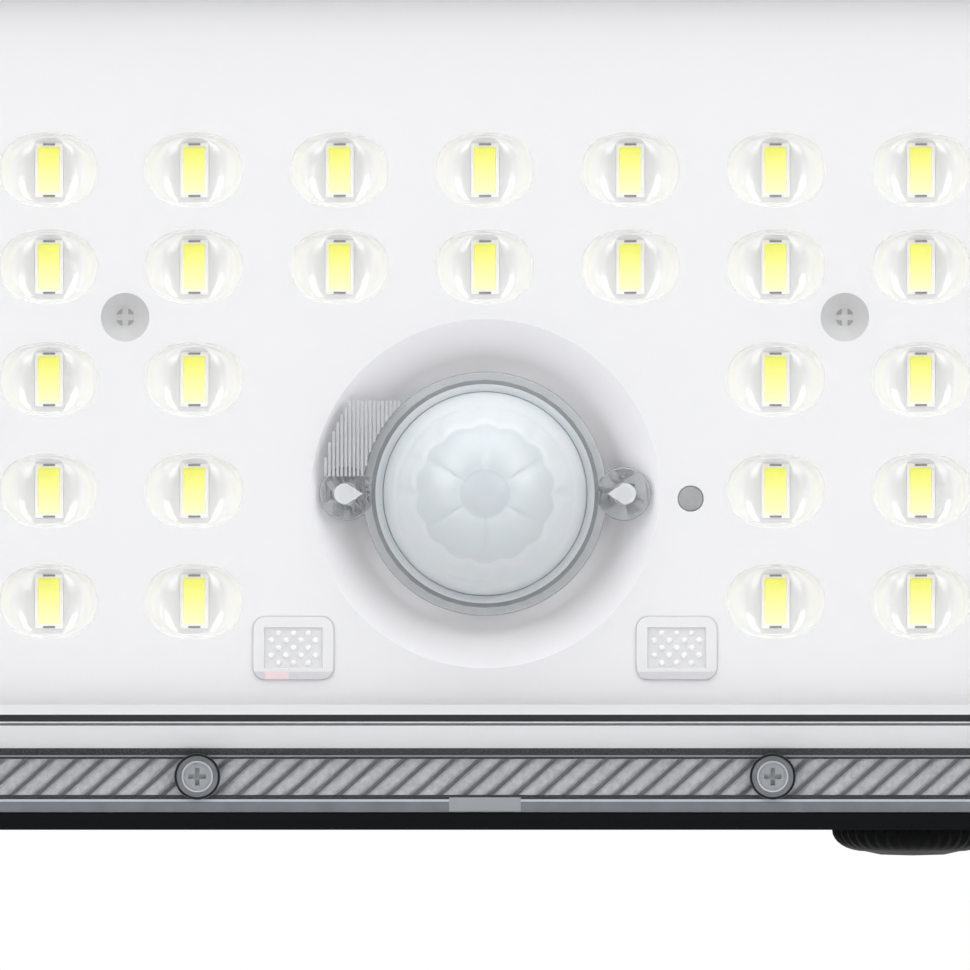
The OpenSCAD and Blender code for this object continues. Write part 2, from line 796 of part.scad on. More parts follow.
module light_sensor() {
    color("#8d9296") in_head() rod_y(eye_x, eye_z, mirror_y + mirror_t + 0.8, board_y, eye_r - 0.1);
}

// A dotted window: a block in the reflector's hole, with a flange behind the plate
module dotted_window(x) {
    lip = 0.35;
    flange_back = mirror_y + mirror_t;
    in_head() {
        block_y(x, pir_z - pane_drop, mirror_y - 0.3, flange_back, pane_w, pane_h);
        block_y(x, pir_z - pane_drop, flange_back, flange_back + lip, pane_w + 2 * lip, pane_h + 2 * lip);
    }
}

module status_window() {
    color("#e6e2e4") dotted_window(-pane_x);
}

module receiver_window() {
    color("#e4e4e6") dotted_window(pane_x);
}

module status_led() {
    color("#d9a0a0") in_head() block_y(-pane_x, pir_z - pane_drop, board_y - 1.9, board_y, 3.5, 2.8);
}

module ir_receiver() {
    color("#2a2c2e") in_head() block_y(pane_x, pir_z - pane_drop, board_y - 2.4, board_y, 6, 5);
}

// ---- Lamp head: battery and electronics ----

module battery_tray() {
    end = cell_l + cell_gap / 2 + tab_t + seat_gap;
    color("#26282a") in_head() difference() {
        translate([-tray_l / 2, floor_y - tray_d, battery_z - tray_h / 2]) cube([tray_l, tray_d, tray_h]);
        rod_x(-end, -cell_gap / 2 + tab_t + seat_gap, cell_y, battery_z, cell_r + seat_gap);
        rod_x(cell_gap / 2 - tab_t - seat_gap, end, cell_y, battery_z, cell_r + seat_gap);
    }
}

module battery_cells() {
    color("#3b6fa8") in_head() for (x0 = [-cell_gap / 2 - cell_l, cell_gap / 2]) {
        rod_x(x0, x0 + cell_l, cell_y, battery_z, cell_r);
    }
}

module cell_tabs() {
    tab = 8;
    ends = [
        -cell_gap / 2 - cell_l - tab_t, -cell_gap / 2,
        cell_gap / 2 - tab_t, cell_gap / 2 + cell_l
    ];
    color("#c9c4b8") in_head() for (x0 = ends)
        translate([x0, cell_y - tab / 2, battery_z - tab / 2]) cube([tab_t, tab, tab]);
}

module controller_board() {
    color("#1f5a3a") in_head() difference() {
        along_y(ctrl_front, ctrl_back) translate([0, ctrl_z]) rounded(ctrl_w, ctrl_h, 2);
        for (s = [-1, 1], t = [-1, 1])
            rod_y(s * ctrl_post_x, ctrl_z + t * ctrl_post_z, ctrl_front - over, ctrl_back + over,
                  screw_r + 0.2);
    }
}

module board_screws() {
    color("#b4b8bb") in_head() for (s = [-1, 1], t = [-1, 1])
        screw_y(s * ctrl_post_x, ctrl_z + t * ctrl_post_z, ctrl_front, 2, 1.3, screw_r, 7);
}

module controller_chip() {
    color("#202224") in_head() {
        block_y(-8, ctrl_z, ctrl_front - 1.5, ctrl_front, 10, 6);
        block_y(20, ctrl_z + 6, ctrl_front - 1.5, ctrl_front, 5, 4);
    }
}

module inductor() {
    color("#3c3f42") in_head() rod_y(34, ctrl_z - 6, ctrl_front - 4.6, ctrl_front, 4);
}

module capacitors() {
    color("#2d3a55") in_head() for (x = [-40, -31])
        rod_y(x, ctrl_z - 5, ctrl_front - 6.5, ctrl_front, 2.6);
}

module mode_switch() {
    color("#2f3234") in_head() difference() {
        block_y(knob_x, switch_z + switch_h / 2, ctrl_back, ctrl_back + switch_d, switch_w, switch_h);
        translate([knob_x, knob_y, switch_z - over])
            cylinder(h = shaft_up + 2 * over, r = shaft_r + run_gap);
    }
}

module shaft_seal() {
    color("#101112") in_head() translate([knob_x, knob_y, -body_h / 2 + 0.05]) difference() {
        cylinder(h = seal_t - 0.1, r = seal_r);
        translate([0, 0, -over]) cylinder(h = seal_t + 2 * over, r = shaft_r + run_gap);
    }
}

// ---- Mode knob ----

module knob_shaft() {
    color("#b4b8bb") in_head() translate([knob_x, knob_y, knob_top - shaft_down])
        cylinder(h = switch_z + shaft_up - knob_top + shaft_down, r = shaft_r);
}

module mode_knob() {
    dome_big = (knob_r * knob_r + knob_dome * knob_dome) / (2 * knob_dome);
    color("#141516") in_head() translate([knob_x, knob_y, knob_top]) difference() {
        intersection() {
            translate([0, 0, -knob_h]) cylinder(h = knob_h, r = knob_r);
            translate([0, 0, dome_big - knob_h]) sphere(r = dome_big);
        }
        for (i = [0 : knob_ribs - 1]) rotate([0, 0, 360 * i / knob_ribs])
            translate([knob_r + 0.1, 0, -knob_h - over]) cylinder(h = knob_h + 2 * over, r = groove_r);
        translate([0, 0, -shaft_down - 0.02]) cylinder(h = shaft_down + over, r = shaft_r + 0.02);
    }
}

// ---- Solar panel ----

module panel_frame() {
    color("#1b1d1f") in_panel() difference() {
        translate([0, stack_mid, panel_low]) linear_extrude(panel_t) rounded(panel_w, panel_d, panel_r);
        translate([0, stack_mid, sheet_low]) linear_extrude(panel_t)
            rounded(panel_w - 2 * frame_lip, panel_d - 2 * frame_lip, panel_r - frame_lip / 2);
        translate([0, stack_mid, panel_low + frame_floor]) linear_extrude(panel_t)
            rounded(panel_w - 2 * (frame_lip + frame_ledge), panel_d - 2 * (frame_lip + frame_ledge), 2);
    }
}

// The knuckles that turn on the hinge pins, at the panel's lower edge
module panel_knuckles() {
    color("#1b1d1f") in_panel() difference() {
        for (s = [-1, 1]) {
            rod_x(s * hinge_x - knuckle_w / 2, s * hinge_x + knuckle_w / 2, 0, 0, hinge_r);
            translate([s * hinge_x - knuckle_w / 2, 0, panel_low])
                cube([knuckle_w, panel_start, hinge_r - 0.3 - panel_low]);
        }
        for (s = [-1, 1])
            rod_x(s * hinge_x - knuckle_w, s * hinge_x + knuckle_w, 0, 0, pin_r + run_gap);
    }
}

module panel_backsheet() {
    color("#e9ebec") in_panel() translate([0, stack_mid, sheet_low])
        linear_extrude(sheet_t) rounded(stack_w, stack_d, panel_r - frame_lip / 2);
}

// The middle of each wafer along one side of the panel
function wafer_middle(i, count, size) = (i - (count - 1) / 2) * (size + wafer_gap);

module solar_cells() {
    color("#14213d") in_panel() for (i = [0 : cell_columns - 1], j = [0 : cell_rows - 1])
        translate([
            wafer_middle(i, cell_columns, wafer_w) - wafer_w / 2,
            stack_mid + wafer_middle(j, cell_rows, wafer_d) - wafer_d / 2,
            wafer_low
        ]) cube([wafer_w, wafer_d, wafer_t]);
}

module cell_ribbons() {
    ribbon_w = 1.2;
    span = cell_columns * (wafer_w + wafer_gap);
    color("#c3c6c8") in_panel() for (j = [0 : cell_rows - 1], s = [-1, 1])
        translate([
            -span / 2,
            stack_mid + wafer_middle(j, cell_rows, wafer_d) + s * wafer_d / 4 - ribbon_w / 2,
            wafer_low + wafer_t
        ]) cube([span, ribbon_w, ribbon_t]);
}

module panel_glass() {
    color([0.7, 0.78, 0.85, 0.35]) in_panel() translate([0, stack_mid, glass_low])
        linear_extrude(glass_t) rounded(stack_w, stack_d, panel_r - frame_lip / 2);
}

module junction_box() {
    color("#202224") in_panel() difference() {
        translate([0, stack_mid, panel_low - box_t]) linear_extrude(box_t) rounded(box_w, box_d, 4);
        for (s = [-1, 1]) translate([s * box_screw_x, stack_mid, panel_low - box_t - over])
            cylinder(h = box_t + 2 * over, r = screw_r + 0.15);
    }
}

module junction_screws() {
    color("#9a9da0") in_panel() for (s = [-1, 1]) translate([s * box_screw_x, stack_mid, 0]) {
        translate([0, 0, panel_low - box_t]) cylinder(h = box_t, r = screw_r);
        translate([0, 0, panel_low - box_t - 1.2]) cylinder(h = 1.2, r = 2);
    }
}

wall_bracket();
friction_washers();
tilt_bolt();
clamp_washer();
clamp_knob();
knob_insert();
rear_housing();
housing_bosses();
tilt_lug();
hinge_ears();
cover_gasket();
lens_cover();
cover_screws();
reflector();
reflector_screws();
led_board();
led_packages();
led_phosphor();
pir_lens();
pir_ring();
pir_screws();
pir_sensor();
light_sensor();
status_window();
receiver_window();
status_led();
ir_receiver();
controller_board();
board_screws();
controller_chip();
inductor();
capacitors();
mode_switch();
shaft_seal();
battery_tray();
battery_cells();
cell_tabs();
battery_door();
door_screws();
vent_plug();
panel_hinge_pins();
mode_knob();
knob_shaft();
panel_frame();
panel_knuckles();
panel_backsheet();
solar_cells();
cell_ribbons();
panel_glass();
junction_box();
junction_screws();
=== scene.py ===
"""Solar flood light: the finish and the fine shape of every piece, around the packed frame.

Lengths are in metres, in the frame's own axes: X to the right, Y back to the wall, Z up. The lamp
shines towards -Y. Sizes that belong to a piece are written in millimetres times MM.
"""

from __future__ import annotations

import json
import logging
import math
from dataclasses import dataclass, field
from enum import Enum

import bmesh
import bpy
from mathutils import Matrix, Vector

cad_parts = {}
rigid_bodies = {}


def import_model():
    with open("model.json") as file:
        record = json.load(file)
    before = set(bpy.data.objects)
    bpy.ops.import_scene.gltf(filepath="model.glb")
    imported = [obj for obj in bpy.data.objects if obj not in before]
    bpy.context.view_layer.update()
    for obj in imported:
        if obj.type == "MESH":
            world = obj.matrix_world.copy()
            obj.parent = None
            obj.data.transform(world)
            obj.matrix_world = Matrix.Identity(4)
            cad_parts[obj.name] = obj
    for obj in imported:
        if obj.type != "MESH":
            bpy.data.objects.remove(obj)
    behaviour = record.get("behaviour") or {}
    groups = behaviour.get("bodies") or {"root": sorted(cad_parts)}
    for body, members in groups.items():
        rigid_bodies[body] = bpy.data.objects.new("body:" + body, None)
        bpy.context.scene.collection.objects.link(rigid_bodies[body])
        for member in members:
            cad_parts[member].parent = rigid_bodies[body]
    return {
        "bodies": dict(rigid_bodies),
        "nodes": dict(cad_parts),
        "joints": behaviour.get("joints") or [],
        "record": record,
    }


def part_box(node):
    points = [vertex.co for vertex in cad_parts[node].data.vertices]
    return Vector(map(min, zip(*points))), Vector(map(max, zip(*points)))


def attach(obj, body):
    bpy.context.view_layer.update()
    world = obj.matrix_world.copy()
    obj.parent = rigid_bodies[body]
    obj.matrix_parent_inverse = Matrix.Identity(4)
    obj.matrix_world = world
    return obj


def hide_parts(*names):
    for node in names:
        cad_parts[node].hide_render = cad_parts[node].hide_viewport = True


MM = 0.001
LOG = logging.getLogger("flood_light")
# Two points nearer than this are one point, or lie in one plane.
NEAR = 0.01 * MM

Rgba = tuple[float, float, float, float]
Span = tuple[float, float]
Mesh = bmesh.types.BMesh
Face = bmesh.types.BMFace
Tree = bpy.types.NodeTree
Socket = bpy.types.NodeSocket


class Body(Enum):
    """The bodies that pieces ride on."""

    BRACKET = "bracket"
    CLAMP = "clamp_knob"
    HEAD = "head"
    DIAL = "mode_knob"
    PANEL = "panel"


# ---------------------------------------------------------------- finishes


def linear(hex_colour: str) -> Rgba:
    """Turns an sRGB hex colour into linear RGBA.

    Args:
        hex_colour: Six hex digits.

    Returns:
        The linear colour with an alpha of 1.
    """
    channels = [int(hex_colour[i : i + 2], 16) / 255 for i in (0, 2, 4)]
    straight = [c / 12.92 if c <= 0.04045 else ((c + 0.055) / 1.055) ** 2.4 for c in channels]
    return (straight[0], straight[1], straight[2], 1.0)


def mottled(hex_colour: str, share: float) -> tuple[Rgba, Rgba]:
    """Works out the two tones of an uneven colour.

    Args:
        hex_colour: Six hex digits.
        share: How uneven it is; the darker tone lacks twice this share.

    Returns:
        The darker tone and the colour itself, both linear.
    """
    base = linear(hex_colour)
    dark = [c * (1 - 2 * share) for c in base[:3]]
    return (dark[0], dark[1], dark[2], 1.0), base


def add_node(
    tree: Tree,
    kind: str,
    settings: dict[str | int, object] | None = None,
    links: dict[str | int, Socket] | None = None,
) -> bpy.types.Node:
    """Adds a node with its settings and links.

    Args:
        tree: The node tree.
        kind: The node's type.
        settings: Values of inputs, by name or number, or of properties where a name starts with a dot.
        links: The sockets that feed its inputs, by the input's name or number.

    Returns:
        The node.
    """
    node = tree.nodes.new(kind)
    for name, value in (settings or {}).items():
        if isinstance(name, str) and name.startswith("."):
            setattr(node, name[1:], value)
        else:
            node.inputs[name].default_value = value
    for name, source in (links or {}).items():
        tree.links.new(source, node.inputs[name])
    return node


def noise(tree: Tree, size: float, detail: float = 2.0) -> Socket:
    """Builds noise in the piece's own space.

    Args:
        tree: The node tree.
        size: The size of its grains.
        detail: How many finer octaves it has.

    Returns:
        The noise, from 0 to 1.
    """
    place = add_node(tree, "ShaderNodeTexCoord").outputs["Object"]
    settings = {"Scale": 1 / size, "Detail": detail}
    return add_node(tree, "ShaderNodeTexNoise", settings, {"Vector": place}).outputs["Fac"]


# The colour sockets of a Mix node.
FACTOR, COLOUR_A, COLOUR_B, COLOUR_OUT = 0, 6, 7, 2


@dataclass(frozen=True)
class Finish:
    """A finish: a named material that is made once."""

    name: str

    def make(self) -> bpy.types.Material:
        """Returns the finish's material."""
        found = bpy.data.materials.get(self.name)
        if found:
            return found
        material = bpy.data.materials.new(self.name)
        material.use_nodes = True
        tree = material.node_tree
        tree.nodes.clear()
        out = tree.nodes.new("ShaderNodeOutputMaterial")
        tree.links.new(self.shader(tree), out.inputs["Surface"])
        return material

    def shader(self, tree: Tree) -> Socket:
        """Builds the nodes.

        Args:
            tree: The material's node tree.

        Returns:
            The shader's output.
        """
        raise NotImplementedError

    def tint_and_gloss(
        self,
        tree: Tree,
        masks: tuple[Socket, Socket],
        tones: tuple[Rgba, Rgba],
        gloss: Span,
    ) -> dict[str | int, Socket]:
        """Builds a colour and a roughness that each run from one value to another.

        Args:
            tree: The material's node tree.
            masks: What the colour and the roughness follow, from 0 to 1.
            tones: The colour at 0 and at 1.
            gloss: The roughness at 0 and at 1.

        Returns:
            The links to the surface's node.
        """
        tint = add_node(
            tree, "ShaderNodeMix", {".data_type": "RGBA", COLOUR_A: tones[0], COLOUR_B: tones[1]},
            {FACTOR: masks[0]},
        )
        rough = add_node(
            tree, "ShaderNodeMapRange", {"To Min": gloss[0], "To Max": gloss[1]}, {"Value": masks[1]}
        )
        return {"Base Color": tint.outputs[COLOUR_OUT], "Roughness": rough.outputs["Result"]}


@dataclass(frozen=True)
class Solid(Finish):
    """An opaque finish with a fine grain, a slow mottle and an uneven gloss."""

    colour: str = "808080"
    roughness: float = 0.4
    metallic: float = 0.0
    ior: float = 1.5
    grain: float = 0.35 * MM
    grain_depth: float = 0.008 * MM
    mottle: float = 0.06
    mottle_size: float = 14 * MM
    gloss_spread: float = 0.06
    subsurface: float = 0.0
    subsurface_depth: float = 1.5 * MM

    def shader(self, tree: Tree) -> Socket:
        """Builds the nodes: mottled colour, grain in the bump, and gloss that follows the grain.

        Args:
            tree: The material's node tree.

        Returns:
            The shader's output.
        """
        masks = (noise(tree, self.mottle_size, 3.0), noise(tree, self.grain))
        gloss = (max(self.roughness - self.gloss_spread, 0.02), self.roughness + self.gloss_spread)
        links = self.tint_and_gloss(tree, masks, mottled(self.colour, self.mottle), gloss)
        bump = add_node(
            tree, "ShaderNodeBump", {"Strength": 1.0, "Distance": self.grain_depth}, {"Height": masks[1]}
        )
        links["Normal"] = bump.outputs["Normal"]
        settings: dict[str | int, object] = {"Metallic": self.metallic}
        if self.metallic == 0:
            settings["IOR"] = self.ior
        if self.subsurface:
            settings["Subsurface Weight"] = self.subsurface
            settings["Subsurface Scale"] = self.subsurface_depth
        return add_node(tree, "ShaderNodeBsdfPrincipled", settings, links).outputs["BSDF"]


@dataclass(frozen=True)
class Clear(Finish):
    """A see-through finish: it passes light straight on, and mirrors more towards its edges."""

    colour: str = "ffffff"
    body: float = 0.0
    roughness: float = 0.04
    tint: str = "ffffff"
    ior: float = 1.58
    grain: float = 6 * MM
    mottle: float = 0.0
    edge: float = 0.1

    def shader(self, tree: Tree) -> Socket:
        """Builds the nodes: a glossy body over plain see-through, more of it at a slant.

        Args:
            tree: The material's node tree.

        Returns:
            The shader's output.
        """
        waves = noise(tree, self.grain)
        gloss = (self.roughness, self.roughness * 1.8)
        links = self.tint_and_gloss(tree, (waves, waves), mottled(self.colour, self.mottle), gloss)
        surface = add_node(tree, "ShaderNodeBsdfPrincipled", {"IOR": self.ior}, links)
        through = add_node(tree, "ShaderNodeBsdfTransparent", {"Color": linear(self.tint)})
        rim = add_node(tree, "ShaderNodeLayerWeight", {"Blend": self.edge})
        least = self.body + (1 - self.body) * ((self.ior - 1) / (self.ior + 1)) ** 2
        share = add_node(
            tree, "ShaderNodeMapRange", {"To Min": least, "To Max": 1.0}, {"Value": rim.outputs["Facing"]}
        )
        parts = {0: share.outputs["Result"], 1: through.outputs["BSDF"], 2: surface.outputs["BSDF"]}
        return add_node(tree, "ShaderNodeMixShader", {}, parts).outputs["Shader"]


@dataclass(frozen=True)
class Gradient(Finish):
    """A finish whose colour runs along the piece's own 'along' attribute."""

    low: str = "ffffff"
    high: str = "000000"
    roughness: float = 0.3
    glow: float = 0.0
    ior: float = 1.41
    grain: float = 0.25 * MM

    def shader(self, tree: Tree) -> Socket:
        """Builds the nodes: the low colour at 0, the high colour at 1, and a faint grain.

        Args:
            tree: The material's node tree.

        Returns:
            The shader's output.
        """
        along = add_node(tree, "ShaderNodeAttribute", {".attribute_name": "along"}).outputs["Fac"]
        gloss = (self.roughness - 0.05, self.roughness + 0.1)
        tones = (linear(self.low), linear(self.high))
        links = self.tint_and_gloss(tree, (along, noise(tree, self.grain)), tones, gloss)
        # A faint glow in the surface's own colour: painted light.
        links["Emission Color"] = links["Base Color"]
        settings = {"IOR": self.ior, "Emission Strength": self.glow}
        return add_node(tree, "ShaderNodeBsdfPrincipled", settings, links).outputs["BSDF"]


@dataclass(frozen=True)
class Silicon(Finish):
    """Screen-printed silicon wafers: dark blue under thin silver fingers."""

    finger_pitch: float = 1.6 * MM
    finger_share: float = 0.09
    mottle_size: float = 9 * MM
    dark: str = "0b1224"
    light: str = "16264a"
    silver: str = "8f99a6"

    def shader(self, tree: Tree) -> Socket:
        """Builds the nodes: a mottled wafer with a silver line at every pitch along X.

        Args:
            tree: The material's node tree.

        Returns:
            The shader's output.
        """
        place = add_node(tree, "ShaderNodeTexCoord").outputs["Object"]
        finger = add_node(tree, "ShaderNodeSeparateXYZ", {}, {0: place}).outputs["X"]
        steps = (("MULTIPLY", 1 / self.finger_pitch), ("FRACT", 0.0), ("LESS_THAN", self.finger_share))
        for operation, number in steps:
            settings = {".operation": operation, 1: number}
            finger = add_node(tree, "ShaderNodeMath", settings, {0: finger}).outputs[0]
        wafer = add_node(
            tree, "ShaderNodeMix",
            {".data_type": "RGBA", COLOUR_A: linear(self.dark), COLOUR_B: linear(self.light)},
            {FACTOR: noise(tree, self.mottle_size, 3.0)},
        )
        lines = add_node(
            tree, "ShaderNodeMix", {".data_type": "RGBA", COLOUR_B: linear(self.silver)},
            {FACTOR: finger, COLOUR_A: wafer.outputs[COLOUR_OUT]},
        )
        settings = {"Roughness": 0.25, "IOR": 1.5}
        links = {"Base Color": lines.outputs[COLOUR_OUT]}
        return add_node(tree, "ShaderNodeBsdfPrincipled", settings, links).outputs["BSDF"]


# Moulded ABS from a spark-eroded mould: a very fine satin grain over near black.
BLACK_ABS = Solid("black ABS, moulded satin", "08090b", 0.48, ior=1.2, grain=0.3 * MM, grain_depth=0.012 * MM)
# The knob's ABS is a little glossier, from the fingers that turn it.
KNOB_ABS = Solid("black ABS, moulded knob", "050607", 0.45, ior=1.15, grain=0.4 * MM, grain_depth=0.006 * MM)
# Inner ABS parts and the junction box are plain dark grey.
INNER_ABS = Solid("dark ABS, inner parts", "1f2224", 0.5)
# Gloss white ABS of the reflector plate: bright, with a soft even sheen.
WHITE_ABS = Solid(
    "white ABS, gloss plate", "e3e3e5", 0.34, mottle=0.004, grain=2.5 * MM, grain_depth=0.003 * MM
)
# The dish is the same white ABS, painted brighter than the plate to lift the shade in its recess, and a touch
# cooler.
DISH_PAINTED_LIGHT = Solid("white ABS, sensor dish", "fcfbfe", 0.3, mottle=0.01, grain=2.0 * MM, grain_depth=0.003 * MM)
# Thinly metallised white of the cups: silvery in the shade and white in the light.
CUP_SILVER = Solid(
    "white ABS, silvered cup", "fcfcfd", 0.16, metallic=0.2, mottle=0.01, grain=1.2 * MM,
    grain_depth=0.006 * MM, gloss_spread=0.05,
)
# White package of the LEDs.
LED_PACKAGE = Solid("white LED package", "fdfcf8", 0.35, mottle=0.01, grain=0.2 * MM, grain_depth=0.003 * MM)
# Dark end marks of the LED packages.
LED_MARK = Solid("LED end mark", "7d7c78", 0.5, grain=0.1 * MM)
# Milky HDPE of the motion sensor's lens: waxy and faintly blue, a touch darker in its centre, and painted
# paler towards its rim to lift the shade where the dome turns sideways.
LENS_HDPE, LENS_CORE, LENS_PAINTED_LIGHT_RIM = (
    Solid(
        f"milky HDPE, {part}", colour, 0.36, mottle=0.012, grain=0.5 * MM, grain_depth=0.003 * MM,
        subsurface=0.15, ior=1.53,
    )
    for part, colour in (("sensor lens", "c3c9cd"), ("lens centre", "bbc1c6"), ("lens rim", "cbd0d4"))
)
# Nickel over steel: cans and screws.
PLATED = Solid("nickel-plated steel", "b9bdc0", 0.3, metallic=1.0, grain=0.25 * MM, grain_depth=0.004 * MM)
# The reflector's screws are painted darker for the shade of their wells.
WELL_SHADED_STEEL = Solid("dull zinc, reflector screw", "98989a", 0.45, metallic=0.3, grain=0.25 * MM)
# The wells' own shade, painted in because they are narrow and deep.
WELL_GREY = Solid("grey ABS, screw well", "c8c8c9", 0.35, mottle=0.05, mottle_size=3 * MM)
# Turned brass of the knob's insert, with a soft gold gleam.
BRASS = Solid("turned brass", "c9a45c", 0.28, metallic=1.0, grain=0.2 * MM)
# Pressed rubber of the gasket and seals: dull and nearly black.
RUBBER = Solid("EPDM rubber", "17191a", 0.7, grain=0.3 * MM, grain_depth=0.02 * MM)
# Moulded nylon of the washers and the vent: a flat dark grey.
GREY_NYLON = Solid("grey nylon", "3a3d40", 0.55)
# Solder mask, sprayed and cured: an even, low gloss.
MASK_WHITE = Solid("white solder mask", "e9ebec", 0.38, mottle=0.01)
MASK_GREEN = Solid("green solder mask", "1c5a36", 0.32, grain=0.8 * MM)
# Packages moulded in epoxy, and the sleeves shrunk over the cans.
EPOXY = Solid("black epoxy package", "1b1c1d", 0.55)
CAPACITOR = Solid("blue sleeved can", "24365c", 0.35)
SLEEVE = Solid("blue PVC sleeve", "2f66a4", 0.35, grain=1.5 * MM)
# Grey clear epoxy of the light sensor.
EYE = Solid("grey epoxy, light sensor", "e0e1e3", 0.25, mottle=0.12, mottle_size=0.8 * MM, grain=0.6 * MM)
# Ribbons soldered over the cells.
RIBBON = Solid("tinned ribbon", "b8bcbf", 0.35, metallic=1.0)
# Clear polycarbonate of the cover: almost nothing is seen of its flat faces.
CLEAR_PC = Clear("clear polycarbonate, window", "ffffff", 0.0, 0.03)
# The same plastic at a wall or an edge, seen through its length: painted near-opaque white on the walls for
# the light seen in them, and painted near black at the rounded edges for the dark housing seen through them.
WALL_PC = Clear("clear polycarbonate, side wall", "fefeff", 0.93, 0.12, grain=1.5 * MM, mottle=0.01)
EDGE_PC = Clear("clear polycarbonate, dark edge", "14161a", 0.97, 0.16, ior=1.4)
# The flange's face is flat and thin: a faint shine over the ribs.
FLANGE_PC = Clear("clear polycarbonate, flange", "e8eaee", 0.02, 0.06)
# The lip is seen along its height, so it is painted grey, with a painted highlight as a bright line in it.
LIP_PC = Clear("clear polycarbonate, flange lip", "8c929a", 0.75, 0.1, grain=3 * MM, mottle=0.2)
LIP_LINE_PC = Clear("clear polycarbonate, bright line", "d3d8df", 0.85, 0.1, mottle=0.1)
# The ribs' tops are blasted, so they sparkle grey; the moat between them is painted dark for the shade that
# falls between the ribs.
FROST_PC = Solid(
    "frosted polycarbonate, ribs", "d2d4d9", 0.5, mottle=0.3, mottle_size=0.5 * MM, grain=0.2 * MM,
    grain_depth=0.08 * MM, gloss_spread=0.2, ior=1.58,
)
MOAT_SHADE = Solid("shaded polycarbonate between the ribs", "8b8e93", 0.5, mottle=0.2, mottle_size=1.0 * MM)
# A screw boss is clear right through, so it shows the dark gasket under it.
BOSS_PC = Clear("clear polycarbonate, screw boss", "7c8085", 0.8, 0.08)
# Smoky polycarbonate of the sensor's ring: darker at its edges, paler where it is thin.
SMOKE_PC = Clear("smoky polycarbonate, ring", "c2c6ca", 0.85, 0.1, grain=1.2 * MM, mottle=0.08)
SMOKE_EDGE = Clear("smoky polycarbonate, ring edge", "8c9296", 0.88, 0.1, grain=1.2 * MM, mottle=0.1)
SMOKE_THIN = Clear("smoky polycarbonate, thin ring foot", "ccd0d3", 0.1, 0.1)
SMOKE_PALE = Clear("smoky polycarbonate, ear centre", "dcdfe0", 0.85, 0.08)
# The cover's screws are blasted, so they gleam softly.
SCREW_STEEL = Solid("plated steel, blasted screw", "a6aaae", 0.38, metallic=0.45, grain=0.25 * MM)
# The window's rim shows the white plate through its own thickness.
BORDER_PC = Clear("clear polycarbonate, window rim", "dadadc", 0.86, 0.1, grain=2 * MM, mottle=0.004)
# A grey line runs under the window's front edge.
SEAM_PC = Clear("clear polycarbonate, grey line", "77797d", 0.88, 0.12, grain=4 * MM, mottle=0.15)
# A hair-thin bead round the window's foot.
BEAD_PC = Clear("clear polycarbonate, fine bead", "a2a5aa", 0.8, 0.12)
# A patch of fine grey lines beside the ring, drawn as ridges.
KNURL = Solid("knurled polycarbonate", "b9bcc0", 0.45, mottle=0.12, mottle_size=1.2 * MM, ior=1.58)
# Tempered glass of the panel: the dark cells show through it, under a clean shine.
GLASS = Clear("tempered glass, panel", "2a3440", 0.02, 0.05, tint="e8f0f4", ior=1.5)
# Milky acrylic of the two dotted windows.
PANE = Solid("milky PMMA, dotted pane", "dadadd", 0.3, mottle=0.04, grain=0.5 * MM)
PANE_FRAME = Solid("milky PMMA, window frame", "e2e2e4", 0.25, mottle=0.01)
PANE_DOT = Solid("milky PMMA, dot", "f0f0f1", 0.25, mottle=0.02)
# The lower edge of each window's frame is painted with shade, and on the status window partly pink with the
# red indicator's light.
PINK = Solid("milky PMMA, lit by the red indicator", "ead3d7", 0.3, mottle=0.02)
SHADE_LINE = Solid("milky PMMA, lower edge", "cfcfd3", 0.3, mottle=0.05)
# Phosphor in silicone: deeper yellow towards the top, with a faint painted glow.
PHOSPHOR = Gradient("yellow phosphor in silicone", "fdfdb8", "f6f640", 0.3, glow=0.16)
# Printed cells: dark blue crystals under silver fingers.
SILICON = Silicon("monocrystalline silicon, printed")

# ---------------------------------------------------------------- mesh tools


def solid_boxes(node: bpy.types.Object) -> list[tuple[Vector, Vector]]:
    """Finds the separate solids of a frame node.

    Args:
        node: The frame node's object.

    Returns:
        The lowest and highest corner of each solid.
    """
    bm = bmesh.new()
    bm.from_mesh(node.data)
    bmesh.ops.remove_doubles(bm, verts=bm.verts, dist=0.001 * MM)
    left = set(bm.verts)
    boxes = []
    while left:
        grown = [left.pop()]
        solid = []
        while grown:
            vert = grown.pop()
            solid.append(vert)
            for edge in vert.link_edges:
                other = edge.other_vert(vert)
                if other in left:
                    left.remove(other)
                    grown.append(other)
        low = Vector([min(v.co[k] for v in solid) for k in range(3)])
        high = Vector([max(v.co[k] for v in solid) for k in range(3)])
        boxes.append((low, high))
    bm.free()
    return sorted(boxes, key=lambda b: (round(b[0].z, 4), round(b[0].x, 4)))


def middle(box: tuple[Vector, Vector]) -> Vector:
    """Returns the point halfway between a box's two corners."""
    return (box[0] + box[1]) / 2


def rounded_plate(width: float, height: float, radius: float, y: float, steps: int = 8) -> Mesh:
    """Starts a mesh with one rounded face that looks towards -Y.

    Args:
        width: Its size along X.
        height: Its size along Z.
        radius: The corners' radius.
        y: Its place along Y.
        steps: Segments in each corner.

    Returns:
        The mesh.
    """
    bm = bmesh.new()
    bmesh.ops.create_grid(bm, x_segments=1, y_segments=1, size=0.5)
    bmesh.ops.scale(bm, vec=(width, height, 1), verts=bm.verts)
    bmesh.ops.bevel(
        bm, geom=bm.verts[:], offset=radius, offset_type="OFFSET", segments=steps, profile=0.5,
        affect="VERTICES", material=-1,
    )
    bmesh.ops.rotate(bm, cent=(0, 0, 0), matrix=Matrix.Rotation(math.radians(90), 3, "X"), verts=bm.verts)
    return shift(bm, y=y)


def shift(bm: Mesh, x: float = 0.0, y: float = 0.0, z: float = 0.0) -> Mesh:
    """Moves a whole mesh and returns it."""
    bmesh.ops.translate(bm, vec=(x, y, z), verts=bm.verts)
    return bm


